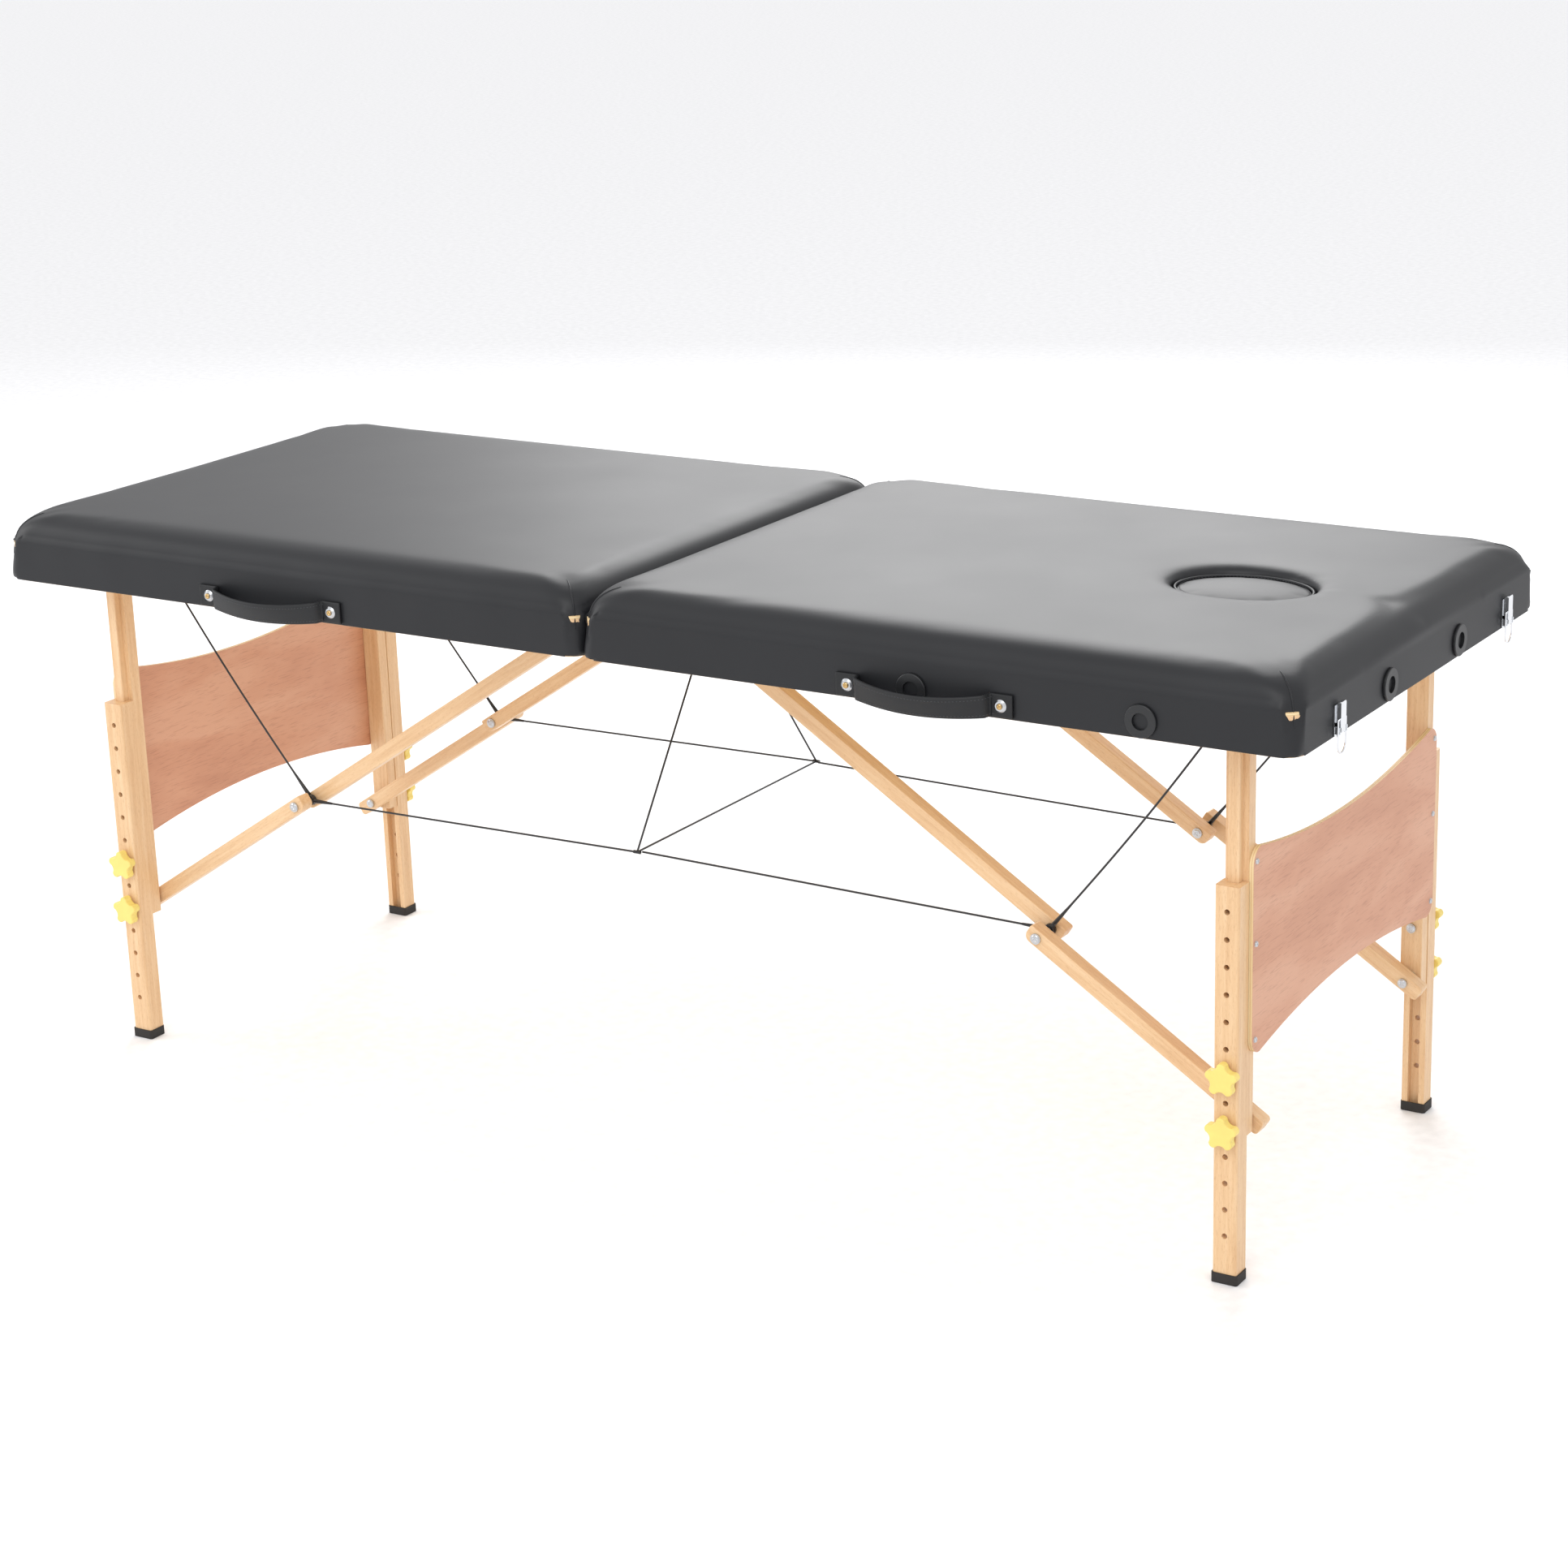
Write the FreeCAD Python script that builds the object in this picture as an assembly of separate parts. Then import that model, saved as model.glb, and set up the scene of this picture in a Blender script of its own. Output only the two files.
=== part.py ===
"""Portable folding massage table, standing open on its four legs.

Frame: +X towards the head end, +Y towards the far long side, +Z up.
Origin: on the floor, under the middle of the table. All sizes are in millimetres.

The table is two half tables hinged underneath at X = 0. Each half has beech rails,
a plywood deck, a foam pad and a vinyl cover, one pair of telescopic legs joined by
a plywood panel, and two folding braces per leg pair. Steel cables tie the knees.
Everything is modelled on the head side (X > 0) and, where there are two, on the far
side (Y > 0); mirrors make the rest.
"""
import FreeCAD, Part
import math
import os

V = FreeCAD.Vector
os.makedirs("parts", exist_ok=True)

# ---------------------------------------------------------------- driving sizes
TABLE_LENGTH = 1850.0
TABLE_WIDTH = 706.0
TABLE_HEIGHT = 740.0
SIDE_HEIGHT = 86.0            # cover, from the top down to the frame's lower edge
SEAM_GAP = 1.0                # between the two half tables at X = 0
COVER_WALL = 1.5
CORNER_RADIUS = 26.0          # cover, seen from above
EDGE_RADIUS = 25.0            # cover, along the top edges

RAIL_HEIGHT = 46.0
RAIL_WALL = 20.0
DECK_WALL = 4.0

HOLE_SETBACK = 225.0          # face hole, from the head end
HOLE_LENGTH = 176.0
HOLE_WIDTH = 134.0
HOLE_LEDGE = 12.0             # deck showing inside the hole, which carries the plug
PLUG_GAP = 1.0
PLUG_RECESS = 6.0

LEG_SETBACK = 107.0           # leg axis, from the end of the table
LEG_PIVOT_DROP = 70.0         # below the top of the table
UPRIGHT_BOTTOM = 175.0
UPRIGHT_SETBACK = 102.5       # upright's inner face, from the long side
UPRIGHT_WIDTH = 28.0          # along X
UPRIGHT_WALL = 18.0           # flange, along Y
TONGUE_WIDTH = 14.0
TONGUE_DEPTH = 10.0
EXTENSION_WIDTH = 30.0
EXTENSION_DEPTH = 25.0
EXTENSION_TOP = 479.0
SLIDE_GAP = 0.5               # upright flange to extension, and tongue to groove floor
TONGUE_SIDE_GAP = 0.3
HOLE_PITCH = 32.5
HOLE_COUNT = 13
LOWEST_HOLE_Z = 59.0
LOWER_BOLT_STEP = 4           # holes above the lowest one
UPPER_BOLT_STEP = 6
HEIGHT_HOLE_FIT = 0.4         # height holes over the bolt's radius
CAP_HEIGHT = 12.0
CAP_WALL = 1.5
CAP_SOLE = 3.0

PANEL_WALL = 5.7
PANEL_TOP = 516.0
PANEL_BOTTOM = 272.0
PANEL_EDGE_GAP = 0.5          # panel edge inside the upright's outer face
PANEL_WAIST = 25.0            # how far each long edge curves in
PANEL_CORNER = 20.0
PANEL_SCREW_INSET = 9.5       # screws outside the upright's inner face
PANEL_SCREWS_Z = (501.0, 404.0, 290.0)
PANEL_SCREW_R = 1.8
PANEL_SCREW_DEPTH = 12.0

BRACE_HEIGHT = 20.0
BRACE_WALL = 20.0
BRACE_GAP = 4.5               # lower brace to upright, along Y
CABLE_BAY = 19.0              # lower brace to upper brace, along Y, where the cables run
BRACE_PIVOT_X = 40.0
BRACE_PIVOT_DROP = 52.0
FOLDED_KNEE_DROP = 56.5       # knee below the top when the legs lie in the frame
UPPER_KNEE_REACH = 16.0       # brace end beyond the knee pivot
LOWER_KNEE_REACH = 14.0
LOWER_FOOT_REACH = 25.0       # lower brace end beyond the leg bolt
BRACE_TOP_REACH = 11.0

BOLT_R = 3.0
RUNNING_FIT = 0.08
PIVOT_BOLT_R = 4.0
HEAD_R = 6.0
HEAD_HEIGHT = 3.0
BARREL_R = 4.0
KNEE_SPLIT_STEP = 10.0        # gap between screw and barrel nut, out from the upper brace
KNEE_SPLIT_GAP = 1.0
KNEE_WASHER = 2.5

KNOB_R = 20.0
KNOB_VALLEY_R = 14.0
KNOB_WALL = 12.0
KNOB_HUB_R = 10.0
KNOB_HUB = 2.7
KNOB_GAP = 0.3
KNOB_SOCKET = 10.0

HINGE_DROP = 6.0              # hinge axis below the frame
HINGE_SETBACK = 118.0         # outer hinges, from the long sides
HINGE_LENGTH = 76.0
LEAF_WIDTH = 22.0
LEAF_WALL = 1.5
KNUCKLE_R = 4.8
KNUCKLE_GAP = 0.4
PIN_R = 2.4
PIN_FIT = 0.06
PIN_OVERHANG = 0.6            # plain pin beyond the leaves, each end
PIN_HEAD = 1.5
PIN_HEAD_R = 3.6

CABLE_R = 1.3
SLEEVE_R = 3.0
SLEEVE_LENGTH = 30.0
INNER_LANE_STEP = 3.3         # cable lanes, out from the upper brace
OUTER_LANE_STEP = 7.0
EYE_WALL = 3.6                # cable eyes on the knee barrel, along Y
EYE_R = 7.0
CABLE_NODE_X = -27.0
CABLE_NODE_RISE = 7.6         # cable crossing above the knees
FERRULE_R = 2.2
FERRULE_HALF = 5.0
BRIDLE_PIVOT_DROP = 72.0
RING_R = 5.0
RING_WIRE_R = 1.2
RING_CLEARANCE = 0.4          # cable end to ring
BRIDLE_SHANK_X = 12.0         # inner end of the bridle eye's shank
END_EYE_SETBACK = 12.0        # from the leg axis
END_EYE_DROP = 51.0

SOCKET_DROP = 66.0
SOCKET_R = 9.75
SOCKET_TUBE_R = 12.0
SOCKET_FLANGE_R = 19.0
SOCKET_FLANGE = 3.0
SOCKET_SETBACKS = (468.5, 183.0)
SOCKET_YS = 104.0

HANDLE_SETBACK = 452.0        # handle centre, from the end of the table
HANDLE_HALF = 98.8            # handle centre to its screws
HANDLE_DROP = 70.0
STRAP_HEIGHT = 27.0
STRAP_WALL = 4.0
STRAP_STANDOFF = 10.0
STRAP_BOW = 17.0
STRAP_TILT = 20.0             # degrees, middle of the strap hangs down
TAB_LENGTH = 30.0
SCREW_R = 2.0
CUP_R = 7.5
CUP_HEIGHT = 2.0

LATCH_SETBACK = 103.0         # latch centre, from the long side
LATCH_PIVOT_DROP = 78.0
BAIL_PIVOT_DROP = 66.0
LATCH_STANDOFF = 5.8          # pivot line, out from the end of the cover
LEVER_HALF = 7.0
LEVER_WALL = 4.0
LEVER_TOP_DROP = 46.0
EAR_WALL = 1.2
BAIL_HALF = 10.2
BAIL_R = 1.2
BAIL_STRAIGHT = 28.0

TONGUE_BLOCK_GAP = 1.0        # upright's tongue to the block that holds its pivot bolt
LEG_BLOCK_HALF = 28.0         # blocks, along X from the pivot
BRACE_BLOCK_INWARD = 16.0
BRACE_BLOCK_OUTWARD = 30.0
BRACE_BLOCK_DEPTH = 35.5
BLOCK_DROP = 12.0             # blocks below the pivot
SCREW_FIT = 0.05              # hole over a fixed screw's radius
HEAD_GAP = 0.3                # bolt head to the wood that turns under it

# ---------------------------------------------------------------- worked out
HALF_LENGTH = TABLE_LENGTH / 2
HALF_WIDTH = TABLE_WIDTH / 2
FRAME_BOTTOM = TABLE_HEIGHT - SIDE_HEIGHT
DECK_BOTTOM = FRAME_BOTTOM + RAIL_HEIGHT
DECK_TOP = DECK_BOTTOM + DECK_WALL
RAIL_OUTER = HALF_WIDTH - COVER_WALL
HOLE_X = HALF_LENGTH - HOLE_SETBACK
LEG_X = HALF_LENGTH - LEG_SETBACK
LEG_PIVOT_Z = TABLE_HEIGHT - LEG_PIVOT_DROP
UPRIGHT_INNER = HALF_WIDTH - UPRIGHT_SETBACK
BRACE_PIVOT_Z = TABLE_HEIGHT - BRACE_PIVOT_DROP
FOLDED_KNEE_Z = TABLE_HEIGHT - FOLDED_KNEE_DROP
HINGE_AXIS_Z = FRAME_BOTTOM - HINGE_DROP
HINGE_YS = (HINGE_SETBACK - HALF_WIDTH, 0.0, HALF_WIDTH - HINGE_SETBACK)
END_EYE_X = LEG_X - END_EYE_SETBACK
END_EYE_Z = TABLE_HEIGHT - END_EYE_DROP
BRIDLE_PIVOT_Z = TABLE_HEIGHT - BRIDLE_PIVOT_DROP
SOCKET_Z = TABLE_HEIGHT - SOCKET_DROP
SOCKET_XS = tuple(HALF_LENGTH - setback for setback in SOCKET_SETBACKS)
HANDLE_X = HALF_LENGTH - HANDLE_SETBACK
HANDLE_Z = TABLE_HEIGHT - HANDLE_DROP
LATCH_Y = HALF_WIDTH - LATCH_SETBACK
LATCH_PIVOT_Z = TABLE_HEIGHT - LATCH_PIVOT_DROP
BAIL_PIVOT_Z = TABLE_HEIGHT - BAIL_PIVOT_DROP
LEVER_TOP = TABLE_HEIGHT - LEVER_TOP_DROP
RAIL_INNER = RAIL_OUTER - RAIL_WALL
SEAM_X = SEAM_GAP / 2
FLANGE_OUTER = UPRIGHT_INNER + UPRIGHT_WALL
TONGUE_OUTER = FLANGE_OUTER + TONGUE_DEPTH
EXTENSION_INNER = FLANGE_OUTER + SLIDE_GAP
EXTENSION_OUTER = EXTENSION_INNER + EXTENSION_DEPTH
LOWER_BOLT_Z = LOWEST_HOLE_Z + LOWER_BOLT_STEP * HOLE_PITCH
UPPER_BOLT_Z = LOWEST_HOLE_Z + UPPER_BOLT_STEP * HOLE_PITCH
KNOB_INNER = EXTENSION_OUTER + KNOB_GAP
BOLT_END = KNOB_INNER + KNOB_SOCKET - KNOB_GAP
LOWER_BRACE_OUTER = UPRIGHT_INNER - BRACE_GAP
LOWER_BRACE_Y = LOWER_BRACE_OUTER - BRACE_WALL
UPPER_BRACE_OUTER = LOWER_BRACE_Y - CABLE_BAY
UPPER_BRACE_Y = UPPER_BRACE_OUTER - BRACE_WALL
INNER_LANE = UPPER_BRACE_OUTER + INNER_LANE_STEP
OUTER_LANE = UPPER_BRACE_OUTER + OUTER_LANE_STEP
KNEE_SPLIT = UPPER_BRACE_OUTER + KNEE_SPLIT_STEP
HEIGHT_HOLE_R = BOLT_R + HEIGHT_HOLE_FIT
PANEL_X = LEG_X + UPRIGHT_WIDTH / 2
PANEL_HALF = FLANGE_OUTER - PANEL_EDGE_GAP
PANEL_SCREW_Y = UPRIGHT_INNER + PANEL_SCREW_INSET


def knee_geometry():
    """Brace lengths: straight when open, and closing with the leg laid flat.

    The knee lies on the line from the brace pivot to the leg bolt, so the two lengths
    add up to that line. Folded, the leg bolt is level with the leg pivot, and the knee
    is the point at FOLDED_KNEE_Z whose distances to both ends add up to the same sum.
    """
    run_x = LEG_X - BRACE_PIVOT_X
    run_z = LOWER_BOLT_Z - BRACE_PIVOT_Z
    total = math.hypot(run_x, run_z)
    bolt_x = LEG_X - (LEG_PIVOT_Z - LOWER_BOLT_Z)
    low, high = bolt_x, LEG_X + total
    for _ in range(60):
        middle = (low + high) / 2
        to_pivot = math.hypot(middle - BRACE_PIVOT_X, FOLDED_KNEE_Z - BRACE_PIVOT_Z)
        to_bolt = math.hypot(middle - bolt_x, FOLDED_KNEE_Z - LEG_PIVOT_Z)
        if to_pivot + to_bolt > total:
            high = middle
        else:
            low = middle
    knee_x = BRACE_PIVOT_X + run_x * to_pivot / total
    knee_z = BRACE_PIVOT_Z + run_z * to_pivot / total
    open_upper = math.degrees(math.atan2(run_z, run_x))
    fold_upper = math.degrees(math.atan2(FOLDED_KNEE_Z - BRACE_PIVOT_Z, middle - BRACE_PIVOT_X))
    open_lower = 180.0 + open_upper
    fold_lower = math.degrees(math.atan2(FOLDED_KNEE_Z - LEG_PIVOT_Z, middle - bolt_x))
    return knee_x, knee_z, to_pivot, to_bolt, fold_upper - open_upper, open_lower - fold_lower - 90.0


KNEE_X, KNEE_Z, UPPER_LENGTH, LOWER_LENGTH, UPPER_TURN, LOWER_TURN = knee_geometry()
CABLE_NODE_Z = KNEE_Z + CABLE_NODE_RISE


def cable_lanes(head):
    """Y of the centre cables and of the end cables, swapped at the foot end so they pass."""
    return (INNER_LANE, OUTER_LANE) if head else (OUTER_LANE, INNER_LANE)


# ---------------------------------------------------------------- helpers
def box(x0, x1, y0, y1, z0, z1):
    return Part.makeBox(x1 - x0, y1 - y0, z1 - z0, V(x0, y0, z0))


def rod(start, end, radius):
    """Round bar between two points."""
    way = end - start
    return Part.makeCylinder(radius, way.Length, start, way)


def taper(start, end, radius_start, radius_end):
    way = end - start
    return Part.makeCone(radius_start, radius_end, way.Length, start, way)


def rod_y(x, z, radius, y0, y1):
    return Part.makeCylinder(radius, y1 - y0, V(x, y0, z), V(0, 1, 0))


def rod_x(y, z, radius, x0, x1):
    return Part.makeCylinder(radius, x1 - x0, V(x0, y, z), V(1, 0, 0))


def rod_z(x, y, radius, z0, z1):
    return Part.makeCylinder(radius, z1 - z0, V(x, y, z0), V(0, 0, 1))


def prism(edges, way):
    """Solid from a closed outline, pushed along a vector."""
    return Part.Face(Part.Wire(edges)).extrude(way)


def arc(a, b, c):
    return Part.Arc(a, b, c).toShape()


def line(a, b):
    return Part.LineSegment(a, b).toShape()


def rounded(shape, radius, direction, keep=lambda edge: True):
    """Fillet the straight edges that run along a direction."""
    chosen = []
    for edge in shape.Edges:
        if edge.Curve.TypeId != "Part::GeomLine":
            continue
        way = (edge.Vertexes[1].Point - edge.Vertexes[0].Point).normalize()
        if abs(way.dot(direction)) > 0.999 and keep(edge):
            chosen.append(edge)
    return shape.makeFillet(radius, chosen)


def mirror_y(shape):
    return shape.mirror(V(0, 0, 0), V(0, 1, 0))


def mirror_x(shape):
    return shape.mirror(V(0, 0, 0), V(1, 0, 0))


def pair(shape):
    """The far piece and its near twin."""
    return [shape, mirror_y(shape)]


def ellipse_prism(length, width, z0, z1):
    rim = Part.Ellipse(V(HOLE_X, 0, z0), length / 2, width / 2).toShape()
    return prism([rim], V(0, 0, z1 - z0))


def save(name, solids, foot_end=False):
    """Write one node; the foot end's pieces are mirrored copies."""
    pieces = solids if isinstance(solids, list) else [solids]
    if foot_end:
        pieces = [mirror_x(piece) for piece in pieces]
    flat = [solid for piece in pieces for solid in piece.Solids]
    whole = flat[0] if len(flat) == 1 else Part.makeCompound(flat)
    whole.exportStep("parts/" + name + ".step")
    print(name, len(flat), round(sum(solid.Volume for solid in flat) / 1000.0, 2), whole.isValid())


# ---------------------------------------------------------------- half table
def pad_form(inset, bottom=FRAME_BOTTOM):
    """Outer form of a half table, every face moved in by the inset."""
    form = box(SEAM_X + inset, HALF_LENGTH - inset, inset - HALF_WIDTH, HALF_WIDTH - inset,
               bottom, TABLE_HEIGHT - inset)
    form = rounded(form, CORNER_RADIUS - inset, V(0, 0, 1))
    top = [edge for edge in form.Edges if edge.BoundBox.ZMin > TABLE_HEIGHT - inset - 0.01]
    return form.makeFillet(EDGE_RADIUS - inset, top)


def socket_places():
    """Mouth point and outward direction of every accessory socket."""
    places = []
    for x in SOCKET_XS:
        places.append((V(x, HALF_WIDTH, SOCKET_Z), V(0, 1, 0)))
        places.append((V(x, -HALF_WIDTH, SOCKET_Z), V(0, -1, 0)))
    places.append((V(HALF_LENGTH, SOCKET_YS, SOCKET_Z), V(1, 0, 0)))
    places.append((V(HALF_LENGTH, -SOCKET_YS, SOCKET_Z), V(1, 0, 0)))
    return places


def socket_cutters():
    depth = COVER_WALL + RAIL_WALL + 2.0
    return [Part.makeCylinder(SOCKET_TUBE_R + 0.1, depth, mouth + out, out * -1.0)
            for mouth, out in socket_places()]


def handle_screw_cutters():
    outside = HALF_WIDTH + STRAP_WALL + 1.0
    return [rod_y(HANDLE_X + side * HANDLE_HALF, HANDLE_Z, SCREW_R + SCREW_FIT, -outside, -RAIL_INNER)
            for side in (-1, 1)]


def eye_shank_cutters(head):
    lane = cable_lanes(head)[1]
    return [rod_z(END_EYE_X, side * lane, RING_WIRE_R + SCREW_FIT, DECK_BOTTOM - 1.0, DECK_TOP)
            for side in (-1, 1)]


def half_frame(head):
    """Rails, cross members with pivot blocks, deck, foam and cover of one half."""
    inner = pad_form(COVER_WALL, FRAME_BOTTOM - 1.0)
    cutters = handle_screw_cutters()
    if head:
        cutters += socket_cutters()
    side_rail = box(SEAM_X + COVER_WALL, HALF_LENGTH - COVER_WALL, RAIL_INNER, RAIL_OUTER,
                    FRAME_BOTTOM, DECK_BOTTOM).common(inner)
    side_rails = [rail.cut(cutters) for rail in pair(side_rail)]

    centre_rail = box(SEAM_X + COVER_WALL, SEAM_X + COVER_WALL + RAIL_WALL, -RAIL_INNER, RAIL_INNER,
                      FRAME_BOTTOM, DECK_BOTTOM).common(inner)
    if not head:
        ring_x = abs(CABLE_NODE_X)
        shank_hole = rod_x(0, BRIDLE_PIVOT_Z, RING_WIRE_R + SCREW_FIT, BRIDLE_SHANK_X - 2.0, ring_x)
        centre_rail = centre_rail.cut(shank_hole)
    end_rail = box(HALF_LENGTH - COVER_WALL - RAIL_WALL, HALF_LENGTH - COVER_WALL, -RAIL_INNER, RAIL_INNER,
                   FRAME_BOTTOM, DECK_BOTTOM)
    end_rail = end_rail.common(inner)
    if head:
        end_rail = end_rail.cut(cutters)
    leg_block = box(LEG_X - LEG_BLOCK_HALF, LEG_X + LEG_BLOCK_HALF, TONGUE_OUTER + TONGUE_BLOCK_GAP,
                    RAIL_INNER, LEG_PIVOT_Z - BLOCK_DROP, DECK_BOTTOM)
    leg_hole = rod_y(LEG_X, LEG_PIVOT_Z, PIVOT_BOLT_R + SCREW_FIT, TONGUE_OUTER, RAIL_INNER - 5.0)
    leg_block = leg_block.cut(leg_hole)
    block_face = UPPER_BRACE_Y - SLIDE_GAP
    brace_block = box(BRACE_PIVOT_X - BRACE_BLOCK_INWARD, BRACE_PIVOT_X + BRACE_BLOCK_OUTWARD,
                      block_face - BRACE_BLOCK_DEPTH, block_face, BRACE_PIVOT_Z - BLOCK_DROP, DECK_BOTTOM)
    brace_block = brace_block.cut(
        rod_y(BRACE_PIVOT_X, BRACE_PIVOT_Z, BOLT_R + SCREW_FIT, UPPER_BRACE_Y - 30.0, UPPER_BRACE_Y))
    members = [centre_rail, end_rail] + pair(leg_block) + pair(brace_block)

    deck = box(SEAM_X + COVER_WALL, HALF_LENGTH - COVER_WALL, -RAIL_OUTER, RAIL_OUTER,
               DECK_BOTTOM, DECK_TOP).common(inner).cut(eye_shank_cutters(head))
    foam = box(SEAM_X, HALF_LENGTH, -HALF_WIDTH, HALF_WIDTH, DECK_TOP, TABLE_HEIGHT).common(inner)
    cover = pad_form(0.0).cut([inner] + cutters)
    if head:
        ledge_length = HOLE_LENGTH - 2 * HOLE_LEDGE
        ledge_width = HOLE_WIDTH - 2 * HOLE_LEDGE
        deck = deck.cut(ellipse_prism(ledge_length, ledge_width, DECK_BOTTOM - 1.0, DECK_TOP + 1.0))
        hole = ellipse_prism(HOLE_LENGTH, HOLE_WIDTH, DECK_TOP - 1.0, TABLE_HEIGHT + 1.0)
        foam = foam.cut(hole)
        cover = cover.cut(hole)
    return side_rails, members, deck, foam, cover


def face_plug():
    plug = ellipse_prism(HOLE_LENGTH - 2 * PLUG_GAP, HOLE_WIDTH - 2 * PLUG_GAP,
                         DECK_TOP, TABLE_HEIGHT - PLUG_RECESS)
    rim = [edge for edge in plug.Edges if edge.BoundBox.ZMin > TABLE_HEIGHT - PLUG_RECESS - 0.01]
    return plug.makeFillet(5.0, rim)


def socket_liners():
    """Plastic grommets: a flange on the cover and a tube through the rail."""
    liners = []
    for mouth, out in socket_places():
        flange = Part.makeCylinder(SOCKET_FLANGE_R, SOCKET_FLANGE, mouth, out)
        rim = [edge for edge in flange.Edges
               if edge.Curve.TypeId == "Part::GeomCircle" and (edge.CenterOfMass - mouth).dot(out) > 1.0]
        flange = flange.makeFillet(1.2, rim)
        depth = COVER_WALL + RAIL_WALL
        tube = Part.makeCylinder(SOCKET_TUBE_R, depth, mouth, out * -1.0)
        bore = Part.makeCylinder(SOCKET_R, depth + SOCKET_FLANGE + 2.0, mouth + out * (SOCKET_FLANGE + 1.0),
                                 out * -1.0)
        liners.append(flange.fuse(tube).cut(bore).removeSplitter())
    return liners


def handle():
    """Carrying strap on the near side: two flat tabs and a bowed, drooping band."""
    half_band = HANDLE_HALF - TAB_LENGTH / 2 + 2.0
    band_edges = [
        arc(V(-half_band, 0, 0), V(0, -STRAP_BOW, 0), V(half_band, 0, 0)),
        line(V(half_band, 0, 0), V(half_band, -STRAP_WALL, 0)),
        arc(V(half_band, -STRAP_WALL, 0), V(0, -STRAP_BOW - STRAP_WALL, 0), V(-half_band, -STRAP_WALL, 0)),
        line(V(-half_band, -STRAP_WALL, 0), V(-half_band, 0, 0)),
    ]
    band = prism(band_edges, V(0, 0, STRAP_HEIGHT))
    band.translate(V(0, 0, -STRAP_HEIGHT / 2))
    band.rotate(V(0, 0, 0), V(1, 0, 0), STRAP_TILT)
    band.translate(V(HANDLE_X, -HALF_WIDTH - STRAP_STANDOFF, HANDLE_Z))
    strap = band
    for side in (-1, 1):
        centre = HANDLE_X + side * HANDLE_HALF
        tab = box(centre - TAB_LENGTH / 2, centre + TAB_LENGTH / 2, -HALF_WIDTH - STRAP_WALL, -HALF_WIDTH,
                  HANDLE_Z - 12.0, HANDLE_Z + 13.0)
        tab = rounded(tab, 4.0, V(0, 1, 0))
        inner_end = centre - side * (TAB_LENGTH / 2 - STRAP_WALL / 2)
        bend = box(inner_end - STRAP_WALL / 2, inner_end + STRAP_WALL / 2,
                   -HALF_WIDTH - STRAP_STANDOFF - 4.0, -HALF_WIDTH, HANDLE_Z - 12.0, HANDLE_Z + 11.0)
        strap = strap.fuse([tab, bend])
    strap = strap.cut(handle_screw_cutters())
    return strap.removeSplitter()


def frame_fasteners(head):
    """Pivot bolts, cable eyes, handle screws with cup washers, and the bridle's eye."""
    pieces = []
    leg_bolt = rod_y(LEG_X, LEG_PIVOT_Z, PIVOT_BOLT_R, UPRIGHT_INNER, RAIL_INNER - 6.0)
    leg_head = rod_y(LEG_X, LEG_PIVOT_Z, HEAD_R + 1.5, UPRIGHT_INNER - HEAD_HEIGHT - 0.5,
                     UPRIGHT_INNER - HEAD_GAP)
    leg_bolt = leg_bolt.fuse(rod_y(LEG_X, LEG_PIVOT_Z, PIVOT_BOLT_R, UPRIGHT_INNER - 1.0, UPRIGHT_INNER + 1.0))
    pieces += pair(leg_bolt.fuse(leg_head).removeSplitter())

    face = UPPER_BRACE_OUTER
    brace_bolt = rod_y(BRACE_PIVOT_X, BRACE_PIVOT_Z, BOLT_R, UPPER_BRACE_Y - 28.0, face + 1.0)
    brace_head = rod_y(BRACE_PIVOT_X, BRACE_PIVOT_Z, HEAD_R, face + HEAD_GAP, face + HEAD_GAP + HEAD_HEIGHT)
    pieces += pair(brace_bolt.fuse(brace_head).removeSplitter())

    lane = cable_lanes(head)[1]
    ring = Part.makeTorus(RING_R, RING_WIRE_R, V(END_EYE_X, lane, END_EYE_Z), V(0, 1, 0))
    shank = rod_z(END_EYE_X, lane, RING_WIRE_R, END_EYE_Z + RING_R, DECK_TOP)
    pieces += pair(ring.fuse(shank))

    for side in (-1, 1):
        x = HANDLE_X + side * HANDLE_HALF
        face = -HALF_WIDTH - STRAP_WALL
        cup = Part.makeCone(CUP_R, CUP_R - 2.0, CUP_HEIGHT, V(x, face, HANDLE_Z), V(0, -1, 0))
        screw_head = rod_y(x, HANDLE_Z, 3.4, face - CUP_HEIGHT - 1.0, face - 0.5)
        screw = rod_y(x, HANDLE_Z, SCREW_R, face - 1.0, -RAIL_INNER - 3.0)
        pieces.append(cup.fuse([screw_head, screw]).removeSplitter())
    if not head:
        ring_x = abs(CABLE_NODE_X)
        eye = Part.makeTorus(RING_R, RING_WIRE_R, V(ring_x + RING_R, 0, BRIDLE_PIVOT_Z), V(0, 1, 0))
        pieces.append(eye.fuse(rod_x(0, BRIDLE_PIVOT_Z, RING_WIRE_R, BRIDLE_SHANK_X, ring_x)))
    return pieces


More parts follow.
